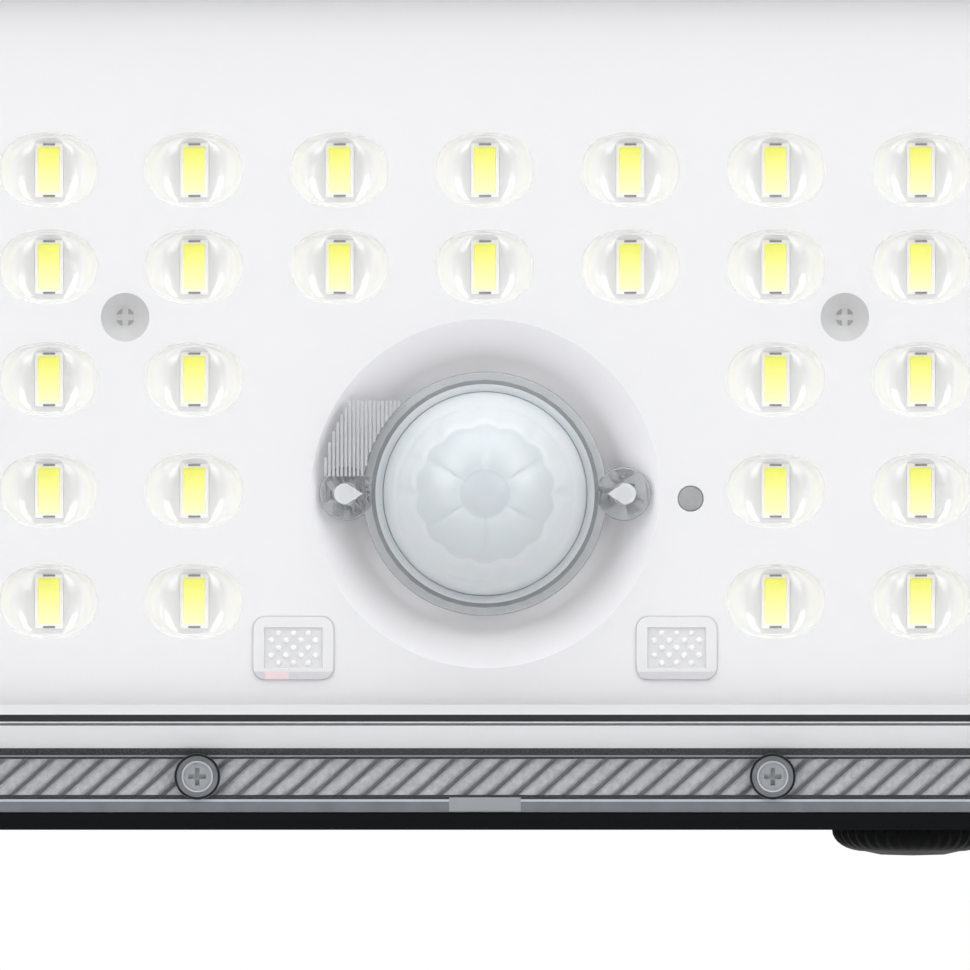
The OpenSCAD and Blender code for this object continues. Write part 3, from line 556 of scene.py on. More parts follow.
def deepen(bm: Mesh, depth: float) -> Mesh:
    """Extrudes a flat mesh straight back along +Y into a closed solid.

    Args:
        bm: The mesh.
        depth: How far back it goes.

    Returns:
        The same mesh.
    """
    grown = bmesh.ops.extrude_face_region(bm, geom=bm.faces[:], use_keep_orig=True)["geom"]
    verts = [g for g in grown if isinstance(g, bmesh.types.BMVert)]
    bmesh.ops.translate(bm, vec=(0, depth, 0), verts=verts)
    bmesh.ops.recalc_face_normals(bm, faces=bm.faces)
    return bm


def ring_band(width: float, height: float, radius: float, band: float, y: float, span: Span) -> Mesh:
    """Makes a flat closed band that follows a rounded rectangle.

    Args:
        width: Its outer size along X.
        height: Its outer size along Z.
        radius: Its outer corners' radius, less than half of either size.
        band: Its width.
        y: The face that it sits on.
        span: How far from that face its front and its back lie.

    Returns:
        The mesh.
    """
    bm = rounded_plate(width, height, radius, y + span[0], 9)
    bmesh.ops.inset_individual(bm, faces=bm.faces[:], thickness=band, use_even_offset=True)
    bmesh.ops.delete(bm, geom=[max(bm.faces, key=lambda f: len(f.verts))], context="FACES")
    return deepen(bm, span[1] - span[0])


def bevel_edges(
    bm: Mesh, edges: list[bmesh.types.BMEdge], offset: float, segments: int, look: int = -1
) -> None:
    """Rounds edges off.

    Args:
        bm: The mesh.
        edges: Its edges.
        offset: The rounding's size.
        segments: Its steps.
        look: The new faces' material index, or -1 for that of their neighbours.
    """
    bmesh.ops.bevel(
        bm, geom=edges, offset=offset, offset_type="OFFSET", segments=segments, profile=0.5,
        affect="EDGES", clamp_overlap=True, material=look,
    )


def round_edges(bm: Mesh, offset: float, segments: int = 2, angle: float = 30.0) -> None:
    """Rounds every edge that is sharper than the angle.

    Args:
        bm: The mesh.
        offset: The rounding's size.
        segments: Its steps.
        angle: The least angle between faces, in degrees.
    """
    sharp = [e for e in bm.edges if len(e.link_faces) == 2 and e.calc_face_angle(0) > math.radians(angle)]
    bevel_edges(bm, sharp, offset, segments)


def spun(bm: Mesh, outline: list[bmesh.types.BMVert], axis: Vector, steps: int) -> None:
    """Turns an outline into a round solid about an axis through the origin.

    Args:
        bm: The mesh.
        outline: The outline's points, in order.
        axis: The axis.
        steps: The sides of the round.
    """
    edges = [bm.edges.new(pair) for pair in zip(outline, outline[1:])]
    bmesh.ops.spin(
        bm, geom=outline + edges, cent=(0, 0, 0), axis=axis, dvec=(0, 0, 0), angle=2 * math.pi, steps=steps,
        use_merge=True,
    )
    bmesh.ops.remove_doubles(bm, verts=bm.verts, dist=0.1 * NEAR)


def paint(bm: Mesh, look: int) -> Mesh:
    """Gives every face of a mesh one finish.

    Args:
        bm: The mesh.
        look: The finish's material index.

    Returns:
        The same mesh.
    """
    for face in bm.faces:
        face.material_index = look
    return bm


def show(name: str, bm: Mesh, finishes: list[Finish]) -> bpy.types.Object:
    """Makes an object from a mesh and adds it to the scene.

    Args:
        name: Its name.
        bm: Its mesh, which is freed.
        finishes: Its finishes, by material index.

    Returns:
        The object.
    """
    mesh = bpy.data.meshes.new(name)
    bm.to_mesh(mesh)
    bm.free()
    for finish in finishes:
        mesh.materials.append(finish.make())
    made = bpy.data.objects.new(name, mesh)
    bpy.context.scene.collection.objects.link(made)
    return made


def join(target: Mesh, extra: Mesh) -> None:
    """Adds one mesh's solids to another and frees the first.

    Args:
        target: The mesh that grows.
        extra: The mesh that is added.
    """
    carrier = bpy.data.meshes.new("carrier")
    extra.to_mesh(carrier)
    target.from_mesh(carrier)
    bpy.data.meshes.remove(carrier)
    extra.free()


def taper(x: float, z: float, span: Span, radii: Span, steps: int) -> Mesh:
    """Makes a round bar or a cone along Y.

    Args:
        x: Its axis along X.
        z: Its axis along Z.
        span: Its front and back along Y.
        radii: Its radius at the front and at the back.
        steps: Its sides.

    Returns:
        The mesh.
    """
    bm = bmesh.new()
    bmesh.ops.create_cone(
        bm, cap_ends=True, segments=steps, radius1=radii[0], radius2=radii[1], depth=span[1] - span[0],
        matrix=Matrix.Translation((x, sum(span) / 2, z)) @ Matrix.Rotation(math.radians(-90), 4, "X"),
    )
    return bm


def box_solid(low: Vector, high: Vector) -> Mesh:
    """Makes a block between two corners.

    Args:
        low: The lowest corner.
        high: The highest corner.

    Returns:
        The mesh.
    """
    bm = bmesh.new()
    bmesh.ops.create_cube(bm, size=1)
    size = high - low
    bmesh.ops.scale(bm, vec=size, verts=bm.verts)
    return shift(bm, *middle((low, high)))


# ---------------------------------------------------------------- the bench


@dataclass
class Bench:
    """Puts finished pieces on the frame."""

    frame: dict[str, object]
    made: list[str] = field(default_factory=list)

    def node(self, name: str) -> bpy.types.Object:
        """Returns a frame node's object."""
        return self.frame["nodes"][name]

    def dress(self, names: list[str], finish: Finish) -> None:
        """Gives frame nodes a finish.

        Args:
            names: The nodes.
            finish: Their finish.
        """
        for name in names:
            mesh = self.node(name).data
            mesh.materials.clear()
            mesh.materials.append(finish.make())
            LOG.info("dressed %s in %s", name, finish.name)

    def place(
        self,
        name: str,
        bm: Mesh,
        finishes: list[Finish],
        slot: str,
        stands_for: list[str] | None = None,
        body: Body = Body.HEAD,
        sharp_angle: float = 35.0,
        weighted: bool = True,
    ) -> None:
        """Makes a piece from a mesh and sets it on its body.

        Args:
            name: The piece's name.
            bm: Its mesh, which is freed.
            finishes: Its finishes, by material index.
            slot: The record's material slot.
            stands_for: The frame nodes that it replaces.
            body: The body that it rides on.
            sharp_angle: Edges past this angle stay sharp, in degrees.
            weighted: Whether large faces keep their flat shading.
        """
        for face in bm.faces:
            face.smooth = True
        for edge in bm.edges:
            if len(edge.link_faces) == 2:
                edge.smooth = edge.calc_face_angle(0) < math.radians(sharp_angle)
        piece = show(name, bm, finishes)
        if weighted:
            normals = piece.modifiers.new("even shading", "WEIGHTED_NORMAL")
            normals.keep_sharp = True
        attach(piece, body.value)
        if stands_for:
            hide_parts(*stands_for)
        self.made.append(name)
        LOG.info("placed %s on %s, %d faces", name, body.value, len(piece.data.polygons))

    def merged(self, name: str) -> Mesh:
        """Returns a merged copy of a frame node's mesh, with its flat faces whole.

        Args:
            name: The node.

        Returns:
            The mesh.
        """
        bm = bmesh.new()
        bm.from_mesh(self.node(name).data)
        bmesh.ops.remove_doubles(bm, verts=bm.verts, dist=0.002 * MM)
        bmesh.ops.dissolve_limit(
            bm, angle_limit=math.radians(1), verts=bm.verts, edges=bm.edges, use_dissolve_boundaries=False
        )
        return bm

    def refine(
        self, name: str, finish: Finish, slot: str, offset: float, segments: int = 2,
        body: Body = Body.HEAD,
    ) -> None:
        """Replaces a frame node with a copy whose edges are rounded.

        Args:
            name: The node.
            finish: Its finish.
            slot: The record's material slot.
            offset: The size of the rounding.
            segments: The rounding's steps.
            body: Its body.
        """
        bm = self.merged(name)
        round_edges(bm, offset, segments)
        self.place(f"{name}_shape", bm, [finish], slot, [name], body)


# ---------------------------------------------------------------- the lamp head


@dataclass
class Cover:
    """The clear cover with its screwed flange, ribs and lip."""

    bench: Bench
    flange: float = 2.2 * MM
    corner: float = 12 * MM
    edge_round: float = 0.45 * MM
    # The window's outer walls and front edges lie beyond this distance from the middle along X, or
    # beyond the second along Z for the edges, and the third for the walls.
    inside: tuple[float, float, float] = (80 * MM, 30 * MM, 34 * MM)
    # The outer walls lie this far behind the window's front and in front of the flange's back.
    wall_ends: Span = (0.5 * MM, 0.1 * MM)
    # The boss faces end this far in front of the flange's back, and the flange's faces start this
    # far in front of its own front.
    face_ends: Span = (0.2 * MM, 0.3 * MM)
    # A drafted wall's share of facing forwards or back, at least and at most.
    upright: Span = (0.02, 0.9)
    rib_band: float = 3.7 * MM
    rib_in: float = 1.8 * MM
    rib_pitch: float = 2.6 * MM
    rib_width: float = 2.08 * MM
    rib_slant: float = 42.0
    rib_span: Span = (0.7 * MM, 0.1 * MM)
    # How far the ribs stand in the moat, so that no gap shows under them.
    rib_sunk: float = 0.2 * MM
    crest: float = 0.75 * MM
    moat: float = 0.35 * MM
    lip: float = 1.1 * MM
    lip_line: float = 0.25 * MM
    lip_span: Span = (-0.12 * MM, 1.2 * MM)
    # How much smaller the lip is than the flange, so that their sides don't coincide.
    lip_shy: float = 0.05 * MM
    line_span: Span = (-0.12 * MM, 0.6 * MM)
    tab_half: float = 3.7 * MM
    # The tab's outer and inner end, in from the flange's edge.
    tab_in: Span = (0.1 * MM, 1.55 * MM)
    tab_span: Span = (-0.15 * MM, 0.4 * MM)
    # How much less wide and high the window's foot is than the flange.
    foot: float = 13.2 * MM
    foot_corner: float = 8.5 * MM
    bead: float = 0.15 * MM
    bead_out: float = 0.85 * MM
    bead_span: Span = (-0.08 * MM, 0.5 * MM)
    boss_reach: float = 2.5 * MM
    # The radius and width of each line round a screw, from the dark one in.
    boss_rings: tuple[Span, ...] = ((2.35 * MM, 0.22 * MM), (1.62 * MM, 0.16 * MM))
    boss_span: Span = (-0.06 * MM, 0.3 * MM)
    border: float = 1.0 * MM
    screw_round: float = 0.12 * MM
    # How deep behind the front each band of the wall ends, and its material index.
    bands: tuple[tuple[float, int], ...] = ((0.65 * MM, 2), (0.95 * MM, 1), (1.6 * MM, 6))

    def __post_init__(self) -> None:
        """Takes the cover's outline from the frame."""
        low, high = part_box("lens_cover")
        self.screws = [middle(box) for box in solid_boxes(self.bench.node("cover_screws"))]
        self.width = high.x - low.x
        self.height = high.z - low.z
        self.back = high.y
        self.front = low.y
        self.flange_front = self.back - self.flange
        self.boss_front = self.flange_front

    def walls(self, bm: Mesh) -> list[Face]:
        """Returns the faces that stand nearly upright behind the window's front."""
        return [f for f in bm.faces if self.upright[0] < abs(f.normal.y) < self.upright[1]]

    def flats(self, bm: Mesh) -> list[Face]:
        """Returns the faces of the window's flat front."""
        return [f for f in bm.faces if f.normal.y < -0.99 and f.verts[0].co.y < self.front + NEAR]

    def look(self, face: Face, rim: Span) -> int:
        """Chooses the finish of one of the moulding's faces.

        Args:
            face: The face.
            rim: Half the width and height of the window's clear middle.

        Returns:
            Its material index.
        """
        centre = face.calc_center_median()
        wide, _, high = self.inside
        if centre.y < self.front + 5 * NEAR and face.normal.y < -0.99:
            if abs(centre.x) > rim[0] or abs(centre.z) > rim[1]:
                return 5
        if face.material_index == 2:
            return 2
        if self.is_boss(centre) and centre.y < self.back - self.face_ends[0]:
            return 3
        outside = abs(centre.x) > wide or abs(centre.z) > high
        drafted = self.front + self.wall_ends[0] < centre.y < self.back - self.wall_ends[1]
        # Drafted walls take the painted bands by depth: dark edge, painted white and a grey line.
        if outside and drafted and self.upright[0] < abs(face.normal.y) < self.upright[1]:
            deeper = [look for depth, look in self.bands if centre.y < self.front + depth]
            outward = face.normal.x * centre.x + face.normal.z * centre.z > 0
            return deeper[0] if outward and deeper else 1
        return 4 if centre.y > self.flange_front - self.face_ends[1] else 0

    def window(self) -> None:
        """Makes the moulding, with its walls and edges seen as the thick plastic that they are."""
        bm = self.bench.merged("lens_cover")
        wide, high, _ = self.inside
        front_edges = [
            e for e in bm.edges
            if len(e.link_faces) == 2
            and e.calc_face_angle(0) > math.radians(25)
            and all(abs(v.co.y - self.front) < 5 * NEAR for v in e.verts)
            and (abs(e.verts[0].co.x) > wide or abs(e.verts[0].co.z) > high)
        ]
        bevel_edges(bm, front_edges, self.edge_round, 3, look=2)
        front = [v.co for v in bm.verts if v.co.y < self.front + NEAR]
        rim = (max(abs(v.x) for v in front) - self.border, max(abs(v.z) for v in front) - self.border)
        for depth, _ in self.bands:
            self.split(bm, self.walls(bm), (0, self.front + depth, 0), (0, 1, 0))
        for place, normal in (
            ((rim[0], 0, 0), (1, 0, 0)), ((-rim[0], 0, 0), (1, 0, 0)),
            ((0, 0, rim[1]), (0, 0, 1)), ((0, 0, -rim[1]), (0, 0, 1)),
        ):
            self.split(bm, self.flats(bm), place, normal)
        for face in bm.faces:
            face.material_index = self.look(face, rim)
        self.boss_front = min(
            f.calc_center_median().y for f in bm.faces if self.is_boss(f.calc_center_median())
        )
        self.bench.place(
            "cover_window", bm, [CLEAR_PC, WALL_PC, EDGE_PC, BOSS_PC, FLANGE_PC, BORDER_PC, SEAM_PC],
            "clear_plastic", ["lens_cover"],
        )

    def split(
        self, bm: Mesh, faces: list[Face], place: tuple[float, float, float],
        normal: tuple[float, float, float],
    ) -> None:
        """Divides faces along a plane.

        Args:
            bm: The mesh.
            faces: The faces to divide.
            place: A point of the plane.
            normal: The plane's normal.
        """
        parts = dict.fromkeys(part for face in faces for part in (*face.verts, *face.edges, face))
        bmesh.ops.bisect_plane(bm, geom=list(parts), plane_co=place, plane_no=normal)

    def is_boss(self, point: Vector) -> bool:
        """Says whether a point lies on one of the flange's screw bosses."""
        return any(math.hypot(point.x - s.x, point.z - s.z) < self.boss_reach for s in self.screws)

    def ribs(self) -> None:
        """Makes the slanted frosted ribs behind the flange, and the shaded moat that they stand in."""
        half_w = self.width / 2 - self.rib_in
        half_h = self.height / 2 - self.rib_in
        foot = self.back - self.rib_span[1]
        moat = ring_band(
            2 * half_w, 2 * half_h, self.corner - self.rib_in, self.rib_band, foot, (-self.moat, 0.0)
        )
        whole = paint(moat, 1)
        for long_half, short_half, upright in ((half_w, half_h, False), (half_h, half_w, True)):
            count = int((2 * long_half - 2 * self.corner) / self.rib_pitch)
            for side in (-1, 1):
                across = side * (short_half - self.rib_band / 2)
                for i in range(count):
                    along = (i - (count - 1) / 2) * self.rib_pitch
                    join(whole, self.rib(across, along, True) if upright else self.rib(along, across, False))
        self.bench.place("flange_ribs", whole, [FROST_PC, MOAT_SHADE], "clear_plastic", weighted=False)

    def rib(self, x: float, z: float, upright: bool) -> Mesh:
        """Makes one slanted rib with a rounded crest.

        Args:
            x: Its middle along X.
            z: Its middle along Z.
            upright: Whether it crosses an end band instead of a long one.

        Returns:
            The mesh.
        """
        front = self.flange_front + self.rib_span[0]
        half = Vector((self.rib_width / 2, 0, self.rib_band / 2))
        foot = self.back - self.rib_span[1] - self.rib_sunk
        bm = box_solid(Vector((0, front, 0)) - half, Vector((0, foot, 0)) + half)
        crest = [e for e in bm.edges if all(v.co.y < front + NEAR for v in e.verts)
                 and abs(e.verts[0].co.x - e.verts[1].co.x) < NEAR]
        bevel_edges(bm, crest, self.crest, 4)
        for vert in bm.verts:
            vert.co.x += vert.co.z / math.tan(math.radians(self.rib_slant))
        if upright:
            quarter = Matrix.Rotation(math.radians(90), 3, "Y")
            bmesh.ops.rotate(bm, cent=(0, 0, 0), matrix=quarter, verts=bm.verts)
        return shift(bm, x, 0, z)

    def lips(self) -> None:
        """Makes the flange's outer lip with its two middle tabs, and the fine lines inside it."""
        front = self.flange_front
        lip = ring_band(
            self.width - self.lip_shy, self.height - self.lip_shy, self.corner, self.lip, front,
            self.lip_span,
        )
        for side in (-1, 1):
            ends = sorted(side * (self.height / 2 - inset) for inset in self.tab_in)
            tab = box_solid(
                Vector((-self.tab_half, front + self.tab_span[0], ends[0])),
                Vector((self.tab_half, front + self.tab_span[1], ends[1])),
            )
            join(lip, paint(tab, 1))
        inner = (self.width - 2 * self.lip, self.height - 2 * self.lip, self.corner - self.lip)
        # This fine line is a painted highlight.
        line = ring_band(*inner, self.lip_line, front, self.line_span)
        out = 2 * self.bead_out - self.foot
        bead = ring_band(
            self.width + out, self.height + out, self.foot_corner, self.bead, front, self.bead_span
        )
        for name, bm, finishes in (
            ("flange_lip", lip, [LIP_PC, BEAD_PC]),
            ("flange_lip_line", line, [LIP_LINE_PC]),
            ("flange_bead", bead, [BEAD_PC]),
        ):
            self.bench.place(name, bm, finishes, "clear_plastic")

    def boss_lines(self) -> None:
        """Makes the dark line round each screw boss and the pale one inside it."""
        bm = bmesh.new()
        for screw in self.screws:
            for look, (radius, band) in enumerate(self.boss_rings):
                size = 2 * radius
                line = ring_band(size, size, 0.99 * radius, band, self.boss_front, self.boss_span)
                join(bm, paint(shift(line, screw.x, 0, screw.z), look))
        self.bench.place("boss_lines", bm, [EDGE_PC, LIP_LINE_PC], "clear_plastic", weighted=False)

    def build(self) -> None:
        """Builds the cover."""
        self.window()
        self.boss_lines()
        self.ribs()
        self.lips()
        self.bench.dress(["cover_gasket"], RUBBER)
        self.bench.refine("cover_screws", SCREW_STEEL, "steel", self.screw_round)


@dataclass
class Reflector:
    """The white plate with its silvered cups, dish and screw wells."""

    bench: Bench
    # The width and height of a cup's mouth, of its floor, and of the opening for the package.
    mouth: Span = (10.2 * MM, 7.7 * MM)
    floor: Span = (3.6 * MM, 6.7 * MM)
    seat: Span = (3.02 * MM, 5.72 * MM)
    led_rise: float = 0.8 * MM
    # How square a cup is at its mouth, how much more at its floor, and the opening; 2 is an oval.
    squareness: tuple[float, float, float] = (2.35, 1.5, 9.0)
    # How far the plate reaches past its frame node, under the cover's wall.
    overhang: float = 0.9 * MM
    cup_sides: int = 32
    cup_rings: int = 6
    corner: float = 5 * MM
    # The radii of the dish and of a screw's well, in front and behind.
    dish: Span = (18 * MM, 13.2 * MM)
    dish_depth: float = 4.4 * MM
    dish_round: float = 1.2 * MM
    well: Span = (2.52 * MM, 0.85 * MM)
    eye_hole: float = 1.35 * MM
    # The width, height and corner radius of a dotted window's gap.
    gap: tuple[float, float, float] = (8.36 * MM, 6.56 * MM, 1.25 * MM)
    gap_depth: float = 2.5 * MM
    # How far a hollow starts in front of the plate, so that it cuts clean through.
    ahead: float = 0.2 * MM
    # The facets of the dish, of a well and of the eye hole, and the plate's sharpest smooth edge.
    rounds: tuple[int, int, int] = (96, 40, 32)
    sharp_angle: float = 28.0
    finishes: tuple[Finish, ...] = (WHITE_ABS, CUP_SILVER, WELL_GREY, DISH_PAINTED_LIGHT)

    def __post_init__(self) -> None:
        """Takes the plate's outline and the LEDs' places from the frame."""
        self.low, self.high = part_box("reflector")
        self.leds = [middle(box) for box in solid_boxes(self.bench.node("led_packages"))]
        self.dome = middle(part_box("pir_lens"))

    def cup_point(self, turn: float, share: float) -> Span:
        """Works out a point of a cup's outline, an oval at the mouth and squarer at the floor.

        Args:
            turn: The point's direction round the axis.
            share: 1 at the mouth, 0 at the floor, and less than 0 at the package.

        Returns:
            Its X and Z from the cup's axis.
        """
        if share < 0:
            return self.outline(turn, self.seat[0] / 2, self.seat[1] / 2, self.squareness[2])
        half_w = (self.floor[0] + (self.mouth[0] - self.floor[0]) * share) / 2
        half_h = (self.floor[1] + (self.mouth[1] - self.floor[1]) * share) / 2
        power = self.squareness[0] + (1 - share) * self.squareness[1]
        return self.outline(turn, half_w, half_h, power)

    def outline(self, turn: float, half_w: float, half_h: float, power: float) -> Span:
        """Works out a point of a rounded outline: an oval at power 2 and squarer above it.

        Args:
            turn: The point's direction round the axis.
            half_w: Half its width.
            half_h: Half its height.
            power: Its squareness.

        Returns:
            Its X and Z from the axis.
        """
        x, z = math.cos(turn), math.sin(turn)
        norm = (abs(x / half_w) ** power + abs(z / half_h) ** power) ** (1 / power)
        return x / norm, z / norm

    def cup_cutter(self, centre: Vector) -> Mesh:
        """Makes the hollow of one cup: an oval mouth that runs down in a bowl to the package.

        Args:
            centre: The package's centre.

        Returns:
            The closed mesh.
        """
        front = self.low.y
        depth = self.high.y - front - self.led_rise
        bm = bmesh.new()
        bmesh.ops.create_circle(bm, cap_ends=True, segments=self.cup_sides, radius=1)
        turns = bm.verts.layers.float.new("turn")
        for vert in bm.verts:
            vert[turns] = math.atan2(vert.co.y, vert.co.x)
            x, z = self.cup_point(vert[turns], 1)
            vert.co = Vector((x, front - 1.5 * self.ahead, z))
        top = next(iter(bm.faces))
        bowl = [math.radians(90) * i / (self.cup_rings + 1) for i in range(self.cup_rings + 2)]
        steps = [(math.cos(slope), depth * math.sin(slope)) for slope in bowl]
        steps += [(-1.0, depth), (-1.0, depth + self.led_rise + 5 * NEAR)]
        for number, (share, sink) in enumerate(steps):
            mouth = top
            grown = bmesh.ops.extrude_face_region(bm, geom=[mouth])["geom"]
            top = next(g for g in grown if isinstance(g, Face))
            if number:
                bmesh.ops.delete(bm, geom=[mouth], context="FACES_ONLY")
            for vert in top.verts:
                x, z = self.cup_point(vert[turns], max(share, 0.0) if share > -0.5 else share)
                vert.co = Vector((x, front + sink, z))
        for face in bm.faces:
            face.material_index = 0 if face.calc_center_median().y > front + depth - 2 * NEAR else 1
        bmesh.ops.recalc_face_normals(bm, faces=bm.faces)
        return shift(bm, centre.x, 0, centre.z)

    def cutters(self) -> bpy.types.Object:
        """Makes every hollow of the plate as one object, with the dish and the wells.

        Returns:
            The object, which the plate's cut uses and then drops.
        """
        whole = bmesh.new()
        for centre in self.leds:
            join(whole, self.cup_cutter(centre))
        front = self.low.y
        dish = taper(self.dome.x, self.dome.z, (front, front + self.dish_depth), self.dish, self.rounds[0])
        floor_rim = [e for e in dish.edges if e.calc_face_angle(0) > 0.5 and e.verts[0].co.y > front + 1 * MM]
        bevel_edges(dish, floor_rim, self.dish_round, 4)
        # The dish takes the white painted brighter to lift the shade in its recess, and the wells below take
        # their painted shade.
        join(whole, paint(shift(dish, y=-0.1 * NEAR), 3))
        for low, high in solid_boxes(self.bench.node("reflector_screws")):
            screw = middle((low, high))
            span = (front - NEAR, low.y + 11 * NEAR)
            join(whole, paint(taper(screw.x, screw.z, span, self.well, self.rounds[1]), 2))
        eye = middle(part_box("light_sensor"))
        span = (front - self.ahead, self.high.y + 1 * MM)
        join(whole, taper(eye.x, eye.z, span, (self.eye_hole, self.eye_hole), self.rounds[2]))
        for name in ("status_window", "receiver_window"):
            window = middle(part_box(name))
            gap = deepen(rounded_plate(*self.gap, front - self.ahead, 6), self.gap_depth)
            join(whole, shift(gap, window.x, 0, window.z))
        return show("hollows", whole, list(self.finishes))

    def build(self) -> None:
        """Cuts the hollows from the plate and dresses what sits in them."""
        width = self.high.x - self.low.x + 2 * self.overhang
        height = self.high.z - self.low.z + 2 * self.overhang
        whole = deepen(rounded_plate(width, height, self.corner, self.low.y), self.high.y - self.low.y)
        plate = show("plate", whole, [WHITE_ABS])
        hollows = self.cutters()
        cut = plate.modifiers.new("hollows", "BOOLEAN")
        cut.operation = "DIFFERENCE"
        cut.solver = "EXACT"
        cut.material_mode = "TRANSFER"
        cut.object = hollows
        bpy.context.view_layer.update()
        result = bmesh.new()
        evaluated = plate.evaluated_get(bpy.context.evaluated_depsgraph_get())
        result.from_mesh(evaluated.to_mesh())
        names = [m.name for m in evaluated.data.materials]
        evaluated.to_mesh_clear()
        finishes = {f.name: f for f in self.finishes}
        bpy.data.objects.remove(plate)
        bpy.data.objects.remove(hollows)
        self.bench.place(
            "reflector_plate", result, [finishes[n] for n in names], "white_gloss", ["reflector"],
            sharp_angle=self.sharp_angle,
        )
        self.bench.dress(["led_board"], MASK_WHITE)
        self.bench.dress(["reflector_screws"], WELL_SHADED_STEEL)
        self.bench.dress(["light_sensor"], EYE)


@dataclass
class Leds:
    """The LED packages with their phosphor and end marks."""

    bench: Bench
    mark: Span = (1.25 * MM, 0.22 * MM)
    mark_out: float = 0.31 * MM
    # How far a mark's front and back lie behind the phosphor's front.
    mark_span: Span = (-0.02 * MM, 0.1 * MM)
    package_round: float = 0.12 * MM
    pad_round: float = 0.1 * MM
    pad_cuts: int = 5

    def build(self) -> None:
        """Builds the packages."""
        self.bench.refine("led_packages", LED_PACKAGE, "led_body", self.package_round)
        whole = bmesh.new()
        marks = bmesh.new()
        for low, high in solid_boxes(self.bench.node("led_phosphor")):
            block = box_solid(low, high)
            tall = [e for e in block.edges if abs(e.verts[0].co.z - e.verts[1].co.z) > 1 * MM]
            bmesh.ops.subdivide_edges(block, edges=tall, cuts=self.pad_cuts)
            round_edges(block, self.pad_round, 2, 60)
            along = block.verts.layers.float.new("along")
            for vert in block.verts:
                vert[along] = (vert.co.z - low.z) / (high.z - low.z)
            join(whole, block)
            pad = middle((low, high))
            for side in (-1, 1):
                z = pad.z + side * ((high.z - low.z) / 2 + self.mark_out)
                ends = [Vector((pad.x, low.y + y, z)) for y in self.mark_span]
                size = Vector((self.mark[0] / 2, 0, self.mark[1] / 2))
                join(marks, box_solid(ends[0] - size, ends[1] + size))
        self.bench.place("phosphor_pads", whole, [PHOSPHOR], "phosphor", ["led_phosphor"])
        self.bench.place("led_marks", marks, [LED_MARK], "led_body")


